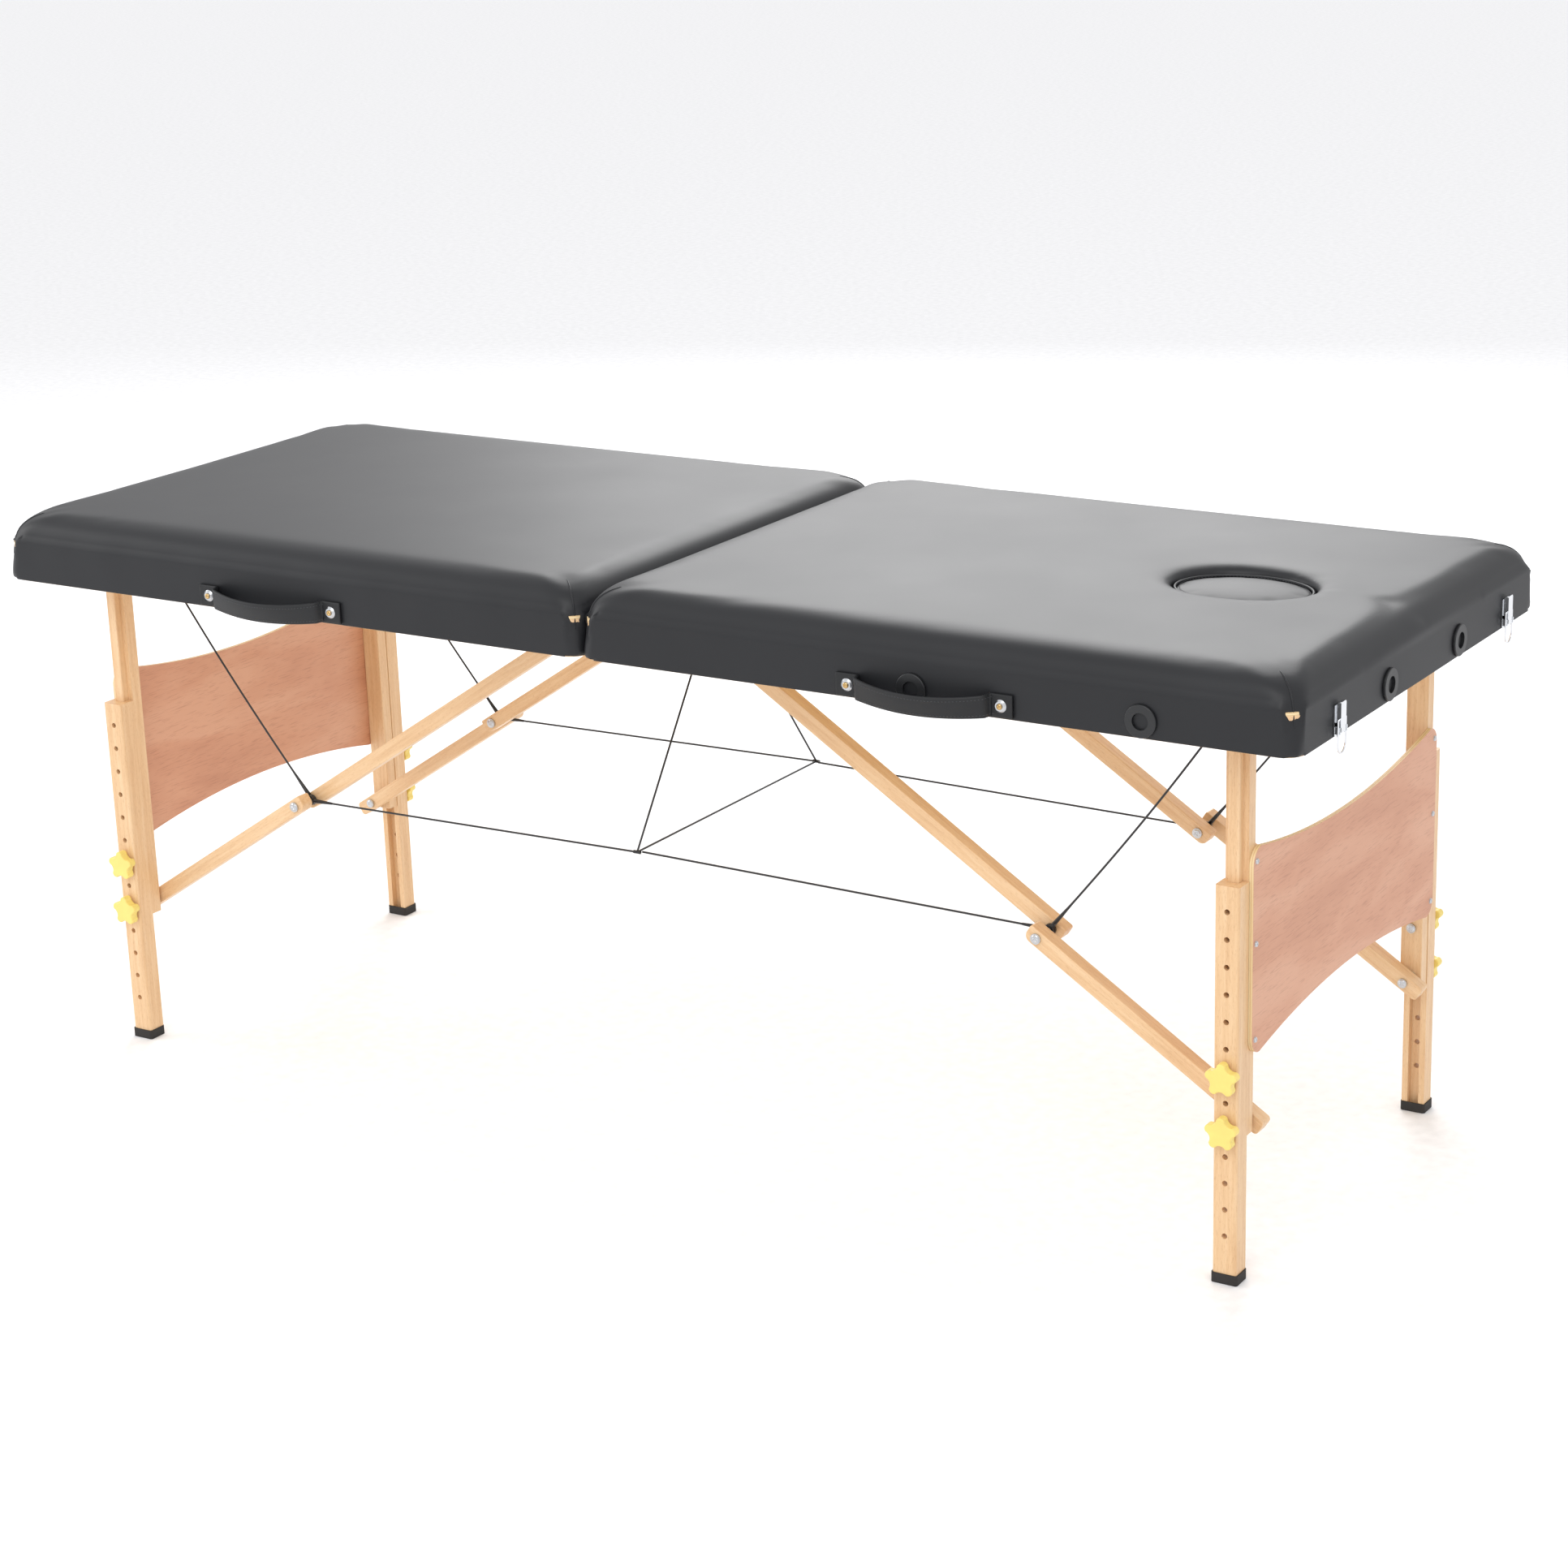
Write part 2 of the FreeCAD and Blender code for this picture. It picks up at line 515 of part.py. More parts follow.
# ---------------------------------------------------------------- centre hinges
def hinge_leaves(head):
    """Butt hinge leaves; the head leaf has the three outer knuckles, the foot leaf two."""
    step = HINGE_LENGTH / 5
    leaves = []
    for middle in HINGE_YS:
        start = middle - HINGE_LENGTH / 2
        leaf = box(0.0, LEAF_WIDTH, start, start + HINGE_LENGTH, FRAME_BOTTOM - LEAF_WALL, FRAME_BOTTOM)
        for number in range(5):
            y0 = start + number * step
            if (number % 2 == 0) == head:
                leaf = leaf.fuse(rod_y(0, HINGE_AXIS_Z, KNUCKLE_R, y0 + KNUCKLE_GAP / 2,
                                       y0 + step - KNUCKLE_GAP / 2))
                leaf = leaf.fuse(box(0.0, KNUCKLE_R, y0 + KNUCKLE_GAP / 2, y0 + step - KNUCKLE_GAP / 2,
                                     HINGE_AXIS_Z, FRAME_BOTTOM - LEAF_WALL / 2))
            else:
                leaf = leaf.cut(box(-1.0, KNUCKLE_R + 1.0, y0 - KNUCKLE_GAP / 2, y0 + step + KNUCKLE_GAP / 2,
                                    HINGE_AXIS_Z - 2 * KNUCKLE_R, FRAME_BOTTOM + 1.0))
        bore = rod_y(0, HINGE_AXIS_Z, PIN_R + PIN_FIT, start - 1.0, start + HINGE_LENGTH + 1.0)
        above_seam = box(-LEAF_WIDTH, SEAM_X - 0.2, start, start + HINGE_LENGTH,
                         HINGE_AXIS_Z + KNUCKLE_R, FRAME_BOTTOM + 1.0)
        leaves.append(leaf.cut([bore, above_seam]).removeSplitter())
    return leaves


def hinge_pins():
    pins = []
    for middle in HINGE_YS:
        low = middle - HINGE_LENGTH / 2 - PIN_OVERHANG
        high = middle + HINGE_LENGTH / 2 + PIN_OVERHANG
        pin = rod_y(0, HINGE_AXIS_Z, PIN_R, low, high)
        heads = [rod_y(0, HINGE_AXIS_Z, PIN_HEAD_R, low - PIN_HEAD, low),
                 rod_y(0, HINGE_AXIS_Z, PIN_HEAD_R, high, high + PIN_HEAD)]
        pins.append(pin.fuse(heads).removeSplitter())
    return pins


# ---------------------------------------------------------------- legs
def round_topped(width, y0, y1):
    """Bar with its top rounded about the leg pivot, so that it can turn under the deck."""
    half = width / 2
    edges = [
        line(V(LEG_X - half, y0, UPRIGHT_BOTTOM), V(LEG_X - half, y0, LEG_PIVOT_Z)),
        arc(V(LEG_X - half, y0, LEG_PIVOT_Z), V(LEG_X, y0, LEG_PIVOT_Z + half),
            V(LEG_X + half, y0, LEG_PIVOT_Z)),
        line(V(LEG_X + half, y0, LEG_PIVOT_Z), V(LEG_X + half, y0, UPRIGHT_BOTTOM)),
        line(V(LEG_X + half, y0, UPRIGHT_BOTTOM), V(LEG_X - half, y0, UPRIGHT_BOTTOM)),
    ]
    return prism(edges, V(0, y1 - y0, 0))


def upright():
    """T-section upper leg, tongue outwards."""
    flange = round_topped(UPRIGHT_WIDTH, UPRIGHT_INNER, FLANGE_OUTER)
    flange = rounded(flange, 1.5, V(0, 0, 1), lambda edge: edge.BoundBox.Center.y < FLANGE_OUTER - 1.0)
    tongue = round_topped(TONGUE_WIDTH, FLANGE_OUTER - 1.0, TONGUE_OUTER)
    tongue = rounded(tongue, 1.0, V(0, 0, 1), lambda edge: edge.BoundBox.Center.y > TONGUE_OUTER - 1.0)
    leg = flange.fuse(tongue).removeSplitter()
    holes = [rod_y(LEG_X, LEG_PIVOT_Z, PIVOT_BOLT_R + RUNNING_FIT, UPRIGHT_INNER - 1.0, TONGUE_OUTER + 1.0)]
    for z in (LOWER_BOLT_Z, UPPER_BOLT_Z):
        holes.append(rod_y(LEG_X, z, BOLT_R + SCREW_FIT, UPRIGHT_INNER - 1.0, TONGUE_OUTER + 1.0))
    for z in PANEL_SCREWS_Z:
        holes.append(rod_x(PANEL_SCREW_Y, z, PANEL_SCREW_R + SCREW_FIT, LEG_X, PANEL_X + 1.0))
    return leg.cut(holes)


def extension():
    """Channel-section lower leg, groove inwards, with the row of height holes."""
    half = EXTENSION_WIDTH / 2
    bar = box(LEG_X - half, LEG_X + half, EXTENSION_INNER, EXTENSION_OUTER, CAP_SOLE, EXTENSION_TOP)
    bar = rounded(bar, 3.0, V(0, 0, 1), lambda edge: edge.BoundBox.Center.y > EXTENSION_OUTER - 1.0)
    groove_half = TONGUE_WIDTH / 2 + TONGUE_SIDE_GAP
    groove_floor = TONGUE_OUTER + SLIDE_GAP
    cutters = [box(LEG_X - groove_half, LEG_X + groove_half, EXTENSION_INNER - 1.0, groove_floor,
                   CAP_SOLE - 1.0, EXTENSION_TOP + 1.0)]
    for number in range(HOLE_COUNT):
        cutters.append(rod_y(LEG_X, LOWEST_HOLE_Z + number * HOLE_PITCH, HEIGHT_HOLE_R,
                             groove_floor - 1.0, EXTENSION_OUTER + 1.0))
    return bar.cut(cutters)


def foot_cap():
    """Rubber boot on the end of an extension."""
    half = EXTENSION_WIDTH / 2
    boot = box(LEG_X - half - CAP_WALL, LEG_X + half + CAP_WALL, EXTENSION_INNER - CAP_WALL,
               EXTENSION_OUTER + CAP_WALL, 0.0, CAP_HEIGHT)
    boot = rounded(boot, 3.5, V(0, 0, 1))
    pocket = box(LEG_X - half, LEG_X + half, EXTENSION_INNER, EXTENSION_OUTER, CAP_SOLE, CAP_HEIGHT + 1.0)
    pocket = rounded(pocket, 3.0, V(0, 0, 1), lambda edge: edge.BoundBox.Center.y > EXTENSION_OUTER - 1.0)
    return boot.cut(pocket)


def panel():
    """Plywood stretcher panel on the outer faces of both uprights, waisted top and bottom."""
    side, low, high, turn = PANEL_HALF, PANEL_BOTTOM, PANEL_TOP, PANEL_CORNER
    inset = turn * (1 - math.sqrt(0.5))

    def at(y, z):
        return V(PANEL_X, y, z)

    edges = [
        line(at(-side, low + turn), at(-side, high - turn)),
        arc(at(-side, high - turn), at(-side + inset, high - inset), at(-side + turn, high)),
        arc(at(-side + turn, high), at(0, high - PANEL_WAIST), at(side - turn, high)),
        arc(at(side - turn, high), at(side - inset, high - inset), at(side, high - turn)),
        line(at(side, high - turn), at(side, low + turn)),
        arc(at(side, low + turn), at(side - inset, low + inset), at(side - turn, low)),
        arc(at(side - turn, low), at(0, low + PANEL_WAIST), at(-side + turn, low)),
        arc(at(-side + turn, low), at(-side + inset, low + inset), at(-side, low + turn)),
    ]
    board = prism(edges, V(PANEL_WALL, 0, 0))
    holes = [rod_x(sign * PANEL_SCREW_Y, z, PANEL_SCREW_R + SCREW_FIT,
                   PANEL_X - 1.0, PANEL_X + PANEL_WALL + 1.0)
             for sign in (-1, 1) for z in PANEL_SCREWS_Z]
    return board.cut(holes)


def leg_fasteners():
    """Height bolts, the spacer behind the lower brace, and the panel's wood screws."""
    pieces = []
    lower = rod_y(LEG_X, LOWER_BOLT_Z, BOLT_R, LOWER_BRACE_Y - 1.0, BOLT_END)
    lower_head = rod_y(LEG_X, LOWER_BOLT_Z, HEAD_R, LOWER_BRACE_Y - HEAD_GAP - HEAD_HEIGHT,
                       LOWER_BRACE_Y - HEAD_GAP)
    spacer = rod_y(LEG_X, LOWER_BOLT_Z, HEAD_R + 2.0, LOWER_BRACE_OUTER + HEAD_GAP, UPRIGHT_INNER)
    pieces += pair(lower.fuse([lower_head, spacer]).removeSplitter())
    upper = rod_y(LEG_X, UPPER_BOLT_Z, BOLT_R, UPRIGHT_INNER - 1.0, BOLT_END)
    upper_head = rod_y(LEG_X, UPPER_BOLT_Z, HEAD_R, UPRIGHT_INNER - HEAD_HEIGHT, UPRIGHT_INNER)
    pieces += pair(upper.fuse(upper_head).removeSplitter())
    face = PANEL_X + PANEL_WALL
    for z in PANEL_SCREWS_Z:
        head = Part.makeCone(3.5, 2.2, 1.3, V(face, PANEL_SCREW_Y, z), V(1, 0, 0))
        shank = rod_x(PANEL_SCREW_Y, z, PANEL_SCREW_R, PANEL_X - PANEL_SCREW_DEPTH, face + 0.5)
        pieces += pair(head.fuse(shank).removeSplitter())
    return pieces


def knob(bolt_z):
    """Five-lobed star knob on the outer end of a height bolt."""
    inner = KNOB_INNER + KNOB_HUB

    def at(degrees, radius):
        angle = math.radians(degrees + 90.0)
        return V(LEG_X + radius * math.cos(angle), inner, bolt_z + radius * math.sin(angle))

    edges = []
    flank = KNOB_R - 2.2
    for lobe in range(5):
        turn = 72.0 * lobe
        edges.append(arc(at(turn - 16, flank), at(turn, KNOB_R), at(turn + 16, flank)))
        edges.append(arc(at(turn + 16, flank), at(turn + 36, KNOB_VALLEY_R), at(turn + 56, flank)))
    star = prism(edges, V(0, KNOB_WALL, 0))
    faces = [edge for edge in star.Edges if edge.BoundBox.YLength < 0.01]
    star = star.makeFillet(1.6, faces)
    hub = rod_y(LEG_X, bolt_z, KNOB_HUB_R, KNOB_INNER, inner + 1.0)
    socket = rod_y(LEG_X, bolt_z, BOLT_R + SCREW_FIT, KNOB_INNER - 1.0, KNOB_INNER + KNOB_SOCKET)
    return star.fuse(hub).cut(socket).removeSplitter()


# ---------------------------------------------------------------- braces
def brace(length, start_reach, end_reach, y0, low_end_round, start_round):
    """Bar along +X from a pivot at the origin to one at the given length."""
    half = BRACE_HEIGHT / 2
    bar = box(-start_reach, length + end_reach, y0, y0 + BRACE_WALL, -half, half)
    bar = rounded(bar, start_round, V(0, 1, 0), lambda edge: edge.BoundBox.Center.x < 0)
    bar = rounded(bar, low_end_round, V(0, 1, 0),
                  lambda edge: edge.BoundBox.Center.x > length and edge.BoundBox.Center.z < 0)
    bar = rounded(bar, 3.0, V(0, 1, 0),
                  lambda edge: edge.BoundBox.Center.x > length and edge.BoundBox.Center.z > half - 1.0)
    return rounded(bar, 1.2, V(1, 0, 0))


def upper_brace():
    """Brace from the block at the middle of the table to the knee."""
    bar = brace(UPPER_LENGTH, BRACE_TOP_REACH, UPPER_KNEE_REACH, UPPER_BRACE_Y, 9.0, 9.0)
    holes = [rod_y(0, 0, BOLT_R + RUNNING_FIT, UPPER_BRACE_Y - 1.0, UPPER_BRACE_OUTER + 1.0),
             rod_y(UPPER_LENGTH, 0, BARREL_R + SCREW_FIT, UPPER_BRACE_Y - 1.0, UPPER_BRACE_OUTER + 1.0)]
    bar = bar.cut(holes)
    slope = math.degrees(math.atan2(BRACE_PIVOT_Z - KNEE_Z, KNEE_X - BRACE_PIVOT_X))
    bar.rotate(V(0, 0, 0), V(0, 1, 0), slope)
    bar.translate(V(BRACE_PIVOT_X, 0, BRACE_PIVOT_Z))
    return bar


def lower_brace():
    """Brace from the lower height bolt to the knee."""
    bar = brace(LOWER_LENGTH, LOWER_FOOT_REACH, LOWER_KNEE_REACH, LOWER_BRACE_Y, 9.0, 5.0)
    holes = [rod_y(0, 0, BOLT_R + RUNNING_FIT, LOWER_BRACE_Y - 1.0, LOWER_BRACE_OUTER + 1.0),
             rod_y(LOWER_LENGTH, 0, BOLT_R + SCREW_FIT, LOWER_BRACE_Y - 1.0, LOWER_BRACE_OUTER + 1.0)]
    bar = bar.cut(holes)
    bar = bar.mirror(V(0, 0, 0), V(1, 0, 0))
    slope = math.degrees(math.atan2(KNEE_Z - LOWER_BOLT_Z, LEG_X - KNEE_X))
    bar.rotate(V(0, 0, 0), V(0, 1, 0), slope)
    bar.translate(V(LEG_X, 0, LOWER_BOLT_Z))
    return bar


def knee_barrel():
    """Barrel nut in the upper brace; the cable eyes turn on its outer end."""
    barrel = rod_y(KNEE_X, KNEE_Z, BARREL_R, UPPER_BRACE_Y - 1.0, KNEE_SPLIT - KNEE_SPLIT_GAP / 2)
    head = rod_y(KNEE_X, KNEE_Z, HEAD_R + 0.5, UPPER_BRACE_Y - KNEE_WASHER, UPPER_BRACE_Y)
    return barrel.fuse(head).removeSplitter()


def knee_screw():
    """Screw in the lower brace, with its washer head outside."""
    shank = rod_y(KNEE_X, KNEE_Z, BOLT_R, KNEE_SPLIT + KNEE_SPLIT_GAP / 2, LOWER_BRACE_OUTER + 1.0)
    head = rod_y(KNEE_X, KNEE_Z, HEAD_R + 0.5, LOWER_BRACE_OUTER, LOWER_BRACE_OUTER + KNEE_WASHER)
    return shank.fuse(head).removeSplitter()


# ---------------------------------------------------------------- cables
def cable(y, far_end):
    """Straight cable from the knee: an eye on the barrel, a tapered sleeve, the wire."""
    knee = V(KNEE_X, y, KNEE_Z)
    way = (far_end - knee).normalize()
    eye = rod_y(KNEE_X, KNEE_Z, EYE_R, y - EYE_WALL / 2, y + EYE_WALL / 2)
    sleeve_start = knee + way * (EYE_R + 0.5)
    sleeve_end = knee + way * (EYE_R + SLEEVE_LENGTH)
    sleeve = taper(sleeve_start, sleeve_end, SLEEVE_R, CABLE_R + 0.3)
    wire = rod(knee + way * (EYE_R - 1.0), far_end, CABLE_R)
    bore = rod_y(KNEE_X, KNEE_Z, BARREL_R + 0.3, y - 4.0, y + 4.0)
    return eye.fuse([sleeve, wire]).cut(bore).removeSplitter()


def centre_cable(node_x, lane):
    """Cable from a knee to the crossing in the middle, stopping at the ferrule's end."""
    node = V(node_x, lane, CABLE_NODE_Z)
    way = (node - V(KNEE_X, lane, KNEE_Z)).normalize()
    return cable(lane, node - way * (FERRULE_HALF + 0.5))


def end_cable(lane):
    """Cable from a knee up to the eye under the deck beside the leg."""
    eye = V(END_EYE_X, lane, END_EYE_Z)
    way = (eye - V(KNEE_X, lane, KNEE_Z)).normalize()
    return cable(lane, eye - way * (RING_R + RING_WIRE_R + RING_CLEARANCE))


def bridle():
    """Cross cable and two risers that hold up the middle of the knee cables."""
    node_x = abs(CABLE_NODE_X)
    apex = V(node_x + RING_R, 0, BRIDLE_PIVOT_Z - RING_R - RING_WIRE_R - RING_CLEARANCE - FERRULE_R)
    half_ferrule = V(0, FERRULE_HALF, 0)
    far_node = V(node_x, OUTER_LANE, CABLE_NODE_Z)
    near_node = V(node_x, -OUTER_LANE, CABLE_NODE_Z)
    pieces = [rod(near_node, far_node, CABLE_R)]
    for node in (far_node, near_node):
        pieces.append(rod(node - V(FERRULE_HALF, 0, 0), node + V(FERRULE_HALF, 0, 0), FERRULE_R))
        pieces.append(rod(node, apex, CABLE_R))
    return rod(apex - half_ferrule, apex + half_ferrule, FERRULE_R).fuse(pieces).removeSplitter()


# ---------------------------------------------------------------- latches
def latch_base():
    """Plate, two ears and pin of a draw latch on the head end."""
    face = HALF_LENGTH
    plate = box(face, face + EAR_WALL, LATCH_Y - 9.0, LATCH_Y + 9.0, FRAME_BOTTOM + 1.0, FRAME_BOTTOM + 36.0)
    pivot_x = face + LATCH_STANDOFF
    body = plate
    for sign in (-1, 1):
        middle = LATCH_Y + sign * (LEVER_HALF + 0.3 + EAR_WALL / 2)
        ear = box(face, pivot_x + 3.0, middle - EAR_WALL / 2, middle + EAR_WALL / 2,
                  LATCH_PIVOT_Z - 4.0, LATCH_PIVOT_Z + 4.0)
        body = body.fuse(ear)
    half_pin = LEVER_HALF + 0.3 + EAR_WALL
    body = body.fuse(rod_y(pivot_x, LATCH_PIVOT_Z, 1.5, LATCH_Y - half_pin, LATCH_Y + half_pin))
    return body.removeSplitter()


def latch_lever():
    pivot_x = HALF_LENGTH + LATCH_STANDOFF
    bar = box(pivot_x - LEVER_WALL / 2, pivot_x + LEVER_WALL / 2, LATCH_Y - LEVER_HALF, LATCH_Y + LEVER_HALF,
              LATCH_PIVOT_Z - 3.0, LEVER_TOP)
    bar = rounded(bar, 3.0, V(1, 0, 0), lambda edge: edge.BoundBox.Center.z > LEVER_TOP - 1.0)
    holes = [rod_y(pivot_x, LATCH_PIVOT_Z, 1.56, LATCH_Y - 20.0, LATCH_Y + 20.0),
             rod_y(pivot_x, BAIL_PIVOT_Z, BAIL_R + 0.06, LATCH_Y - 20.0, LATCH_Y + 20.0)]
    return bar.cut(holes)


def latch_bail():
    """Wire loop through the lever, hanging below the frame."""
    x = HALF_LENGTH + LATCH_STANDOFF
    low = BAIL_PIVOT_Z - BAIL_STRAIGHT
    loop = rod_y(x, BAIL_PIVOT_Z, BAIL_R, LATCH_Y - BAIL_HALF, LATCH_Y + BAIL_HALF)
    for sign in (-1, 1):
        y = LATCH_Y + sign * BAIL_HALF
        loop = loop.fuse([rod_z(x, y, BAIL_R, low, BAIL_PIVOT_Z),
                          Part.makeSphere(BAIL_R, V(x, y, BAIL_PIVOT_Z))])
    bend = Part.makeTorus(BAIL_HALF, BAIL_R, V(x, LATCH_Y, low), V(1, 0, 0))
    bend = bend.common(box(x - 5.0, x + 5.0, LATCH_Y - 20.0, LATCH_Y + 20.0, low - 20.0, low))
    return loop.fuse(bend).removeSplitter()


def latch_keeper():
    """Hook plate on the foot end that the bail catches when the table is closed."""
    face = HALF_LENGTH
    plate = box(face, face + EAR_WALL, LATCH_Y - 9.0, LATCH_Y + 9.0, FRAME_BOTTOM + 1.0, FRAME_BOTTOM + 31.0)
    shelf = box(face, face + 3.6, LATCH_Y - 4.0, LATCH_Y + 4.0, FRAME_BOTTOM + 14.0, FRAME_BOTTOM + 15.2)
    lip = box(face + 2.4, face + 3.6, LATCH_Y - 4.0, LATCH_Y + 4.0, FRAME_BOTTOM + 14.0, FRAME_BOTTOM + 20.0)
    return plate.fuse([shelf, lip]).removeSplitter()


# ---------------------------------------------------------------- write the nodes
def write_half(end, head):
    side_rails, members, deck, foam, cover = half_frame(head)
    foot = not head
    save(end + "_side_rails", side_rails, foot)
    save(end + "_cross_members", members, foot)
    save(end + "_deck", deck, foot)
    save(end + "_foam", foam, foot)
    save(end + "_cover", cover, foot)
    save(end + "_hinge_leaves", hinge_leaves(head), foot)
    save(end + "_handle", handle(), foot)
    save(end + "_fasteners", frame_fasteners(head), foot)
    save(end + "_uprights", pair(upright()), foot)
    save(end + "_panel", panel(), foot)
    save(end + "_leg_fasteners", leg_fasteners(), foot)
    save(end + "_upper_braces", pair(upper_brace()), foot)
    save(end + "_lower_braces", pair(lower_brace()), foot)
    save(end + "_knee_barrels", pair(knee_barrel()), foot)
    save(end + "_knee_screws", pair(knee_screw()), foot)
    node_x = CABLE_NODE_X if head else -CABLE_NODE_X
    centre_lane, end_lane = cable_lanes(head)
    save(end + "_centre_cables", pair(centre_cable(node_x, centre_lane)), foot)
    save(end + "_end_cables", pair(end_cable(end_lane)), foot)
    for side, turn in (("far", lambda shape: shape), ("near", mirror_y)):
        save(end + "_extension_" + side, turn(extension()), foot)
        save(end + "_foot_cap_" + side, turn(foot_cap()), foot)
        for level, bolt_z in (("upper", UPPER_BOLT_Z), ("lower", LOWER_BOLT_Z)):
            save(end + "_knob_" + side + "_" + level, turn(knob(bolt_z)), foot)


write_half("head", True)
write_half("foot", False)
save("hinge_pins", hinge_pins())
save("face_plug", face_plug())
save("socket_liners", socket_liners())
save("latch_bases", pair(latch_base()))
for side_name, turned in (("far", lambda shape: shape), ("near", mirror_y)):
    save("latch_lever_" + side_name, turned(latch_lever()))
    save("latch_bail_" + side_name, turned(latch_bail()))
save("latch_keepers", pair(latch_keeper()), True)
save("bridle", bridle(), True)
print("knee", KNEE_X, KNEE_Z, "lengths", UPPER_LENGTH, LOWER_LENGTH, "turns", UPPER_TURN, LOWER_TURN)
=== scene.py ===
# %% [markdown]
# # A portable massage table
# The table is two padded halves that fold together like a suitcase. The wood, the metal
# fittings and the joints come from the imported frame, already at their real size and place.
# This lesson adds what a frame can't hold: upholstery, straps with stitching, screw heads
# with their cross recess, slack cables, and a finish for every surface.

# %% Load the frame
import bpy
import bmesh
import numpy as np
from mathutils import Matrix, Vector
from mathutils.bvhtree import BVHTree


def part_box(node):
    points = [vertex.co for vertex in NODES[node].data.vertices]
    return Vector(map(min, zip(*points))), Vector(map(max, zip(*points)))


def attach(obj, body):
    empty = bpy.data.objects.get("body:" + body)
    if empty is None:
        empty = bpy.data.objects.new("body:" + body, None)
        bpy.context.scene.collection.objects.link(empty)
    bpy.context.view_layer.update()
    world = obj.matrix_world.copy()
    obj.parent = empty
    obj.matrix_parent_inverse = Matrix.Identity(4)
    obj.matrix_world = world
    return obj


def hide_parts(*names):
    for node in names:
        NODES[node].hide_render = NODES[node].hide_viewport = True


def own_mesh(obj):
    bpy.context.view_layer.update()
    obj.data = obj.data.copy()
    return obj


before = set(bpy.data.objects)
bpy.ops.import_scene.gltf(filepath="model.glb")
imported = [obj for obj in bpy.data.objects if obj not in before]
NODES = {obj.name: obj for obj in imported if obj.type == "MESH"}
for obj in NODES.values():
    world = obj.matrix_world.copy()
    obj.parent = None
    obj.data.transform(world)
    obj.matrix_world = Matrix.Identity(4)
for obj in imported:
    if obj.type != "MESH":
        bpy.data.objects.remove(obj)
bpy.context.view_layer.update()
MM = 0.001
ENDS = ("head", "foot")
SIGN = {"head": 1.0, "foot": -1.0}

# %% [markdown]
# The camera stands to the right of the near long side, a little above the table, and looks
# down at it. A long lens keeps the far legs almost as tall as the near ones. Its place and
# turn are given as a point and three angles, and turned into a matrix.

# %% Camera
CAMERA_PLACE = (2.3051, -3.5072, 1.7198)
CAMERA_YAW, CAMERA_PITCH, CAMERA_ROLL = 0.5546, -0.3082, -0.0286
SENSOR_MM, LENS_MM = 36.0, 78.0


def camera_matrix(place, yaw, pitch, roll):
    """Columns are right, up and backwards: yaw turns about Z, pitch lifts, roll tips."""
    forward = Vector((-np.sin(yaw) * np.cos(pitch), np.cos(yaw) * np.cos(pitch), np.sin(pitch)))
    level = Vector((np.cos(yaw), np.sin(yaw), 0.0))
    upward = level.cross(forward)
    right = level * np.cos(roll) + upward * np.sin(roll)
    top = upward * np.cos(roll) - level * np.sin(roll)
    turned = Matrix((right, top, -forward)).transposed().to_4x4()
    return Matrix.Translation(place) @ turned


lens = bpy.data.cameras.new("camera")
lens.sensor_width = SENSOR_MM
lens.lens = LENS_MM
lens.shift_x = -0.032
lens.shift_y = 0.005
lens.clip_end = 60.0
camera = bpy.data.objects.new("camera", lens)
camera.matrix_world = camera_matrix(CAMERA_PLACE, CAMERA_YAW, CAMERA_PITCH, CAMERA_ROLL)
bpy.context.collection.objects.link(camera)
bpy.context.scene.camera = camera
print("camera at", CAMERA_PLACE)

# %% [markdown]
# Every new surface is a grid of points worked out with numpy. One helper turns a grid into
# faces, another joins several grids into one mesh, so no loop runs over vertices.

# %% Mesh helpers


def grid_faces(rows, columns, closed_rows=False, closed_columns=False, start=0):
    """Four corners per cell of a grid; a closed direction joins its last line to its first."""
    r = np.arange(rows if closed_rows else rows - 1)
    c = np.arange(columns if closed_columns else columns - 1)
    r, c = np.meshgrid(r, c, indexing="ij")
    r_next, c_next = (r + 1) % rows, (c + 1) % columns
    quads = np.stack([r * columns + c, r_next * columns + c,
                      r_next * columns + c_next, r * columns + c_next], -1)
    return (quads.reshape(-1, 4) + start).tolist()


def piece(name, grids, material, smooth=True):
    """One object from (points, closed_rows, closed_columns, capped) grids; caps close the end rows."""
    points, faces, start = [], [], 0
    for array, closed_rows, closed_columns, capped in grids:
        rows, columns = array.shape[:2]
        faces += grid_faces(rows, columns, closed_rows, closed_columns, start)
        if capped:
            faces.append(list(range(start, start + columns)))
            faces.append(list(range(start + rows * columns - 1, start + (rows - 1) * columns - 1, -1)))
        points.append(array.reshape(-1, 3))
        start += rows * columns
    mesh = bpy.data.meshes.new(name)
    mesh.from_pydata(np.concatenate(points).tolist(), [], faces)
    tidy = bmesh.new()
    tidy.from_mesh(mesh)
    bmesh.ops.remove_doubles(tidy, verts=tidy.verts, dist=1e-6)
    bmesh.ops.recalc_face_normals(tidy, faces=tidy.faces)
    tidy.to_mesh(mesh)
    tidy.free()
    mesh.polygons.foreach_set("use_smooth", [smooth] * len(mesh.polygons))
    obj = bpy.data.objects.new(name, mesh)
    bpy.context.collection.objects.link(obj)
    if material is not None:
        mesh.materials.append(material)
    return obj


def sweep(path, across, upward, section):
    """Carries a section along a path: point = path + s * across + t * upward, per section point (s, t)."""
    s, t = section[:, 0], section[:, 1]
    return (path[:, None, :] + across[:, None, :] * s[None, :, None]
            + upward[:, None, :] * t[None, :, None])


def round_section(radius, count=12):
    """Points on a circle of the given radius."""
    turn = np.linspace(0, 2 * np.pi, count, endpoint=False)
    return np.stack([radius * np.cos(turn), radius * np.sin(turn)], 1)


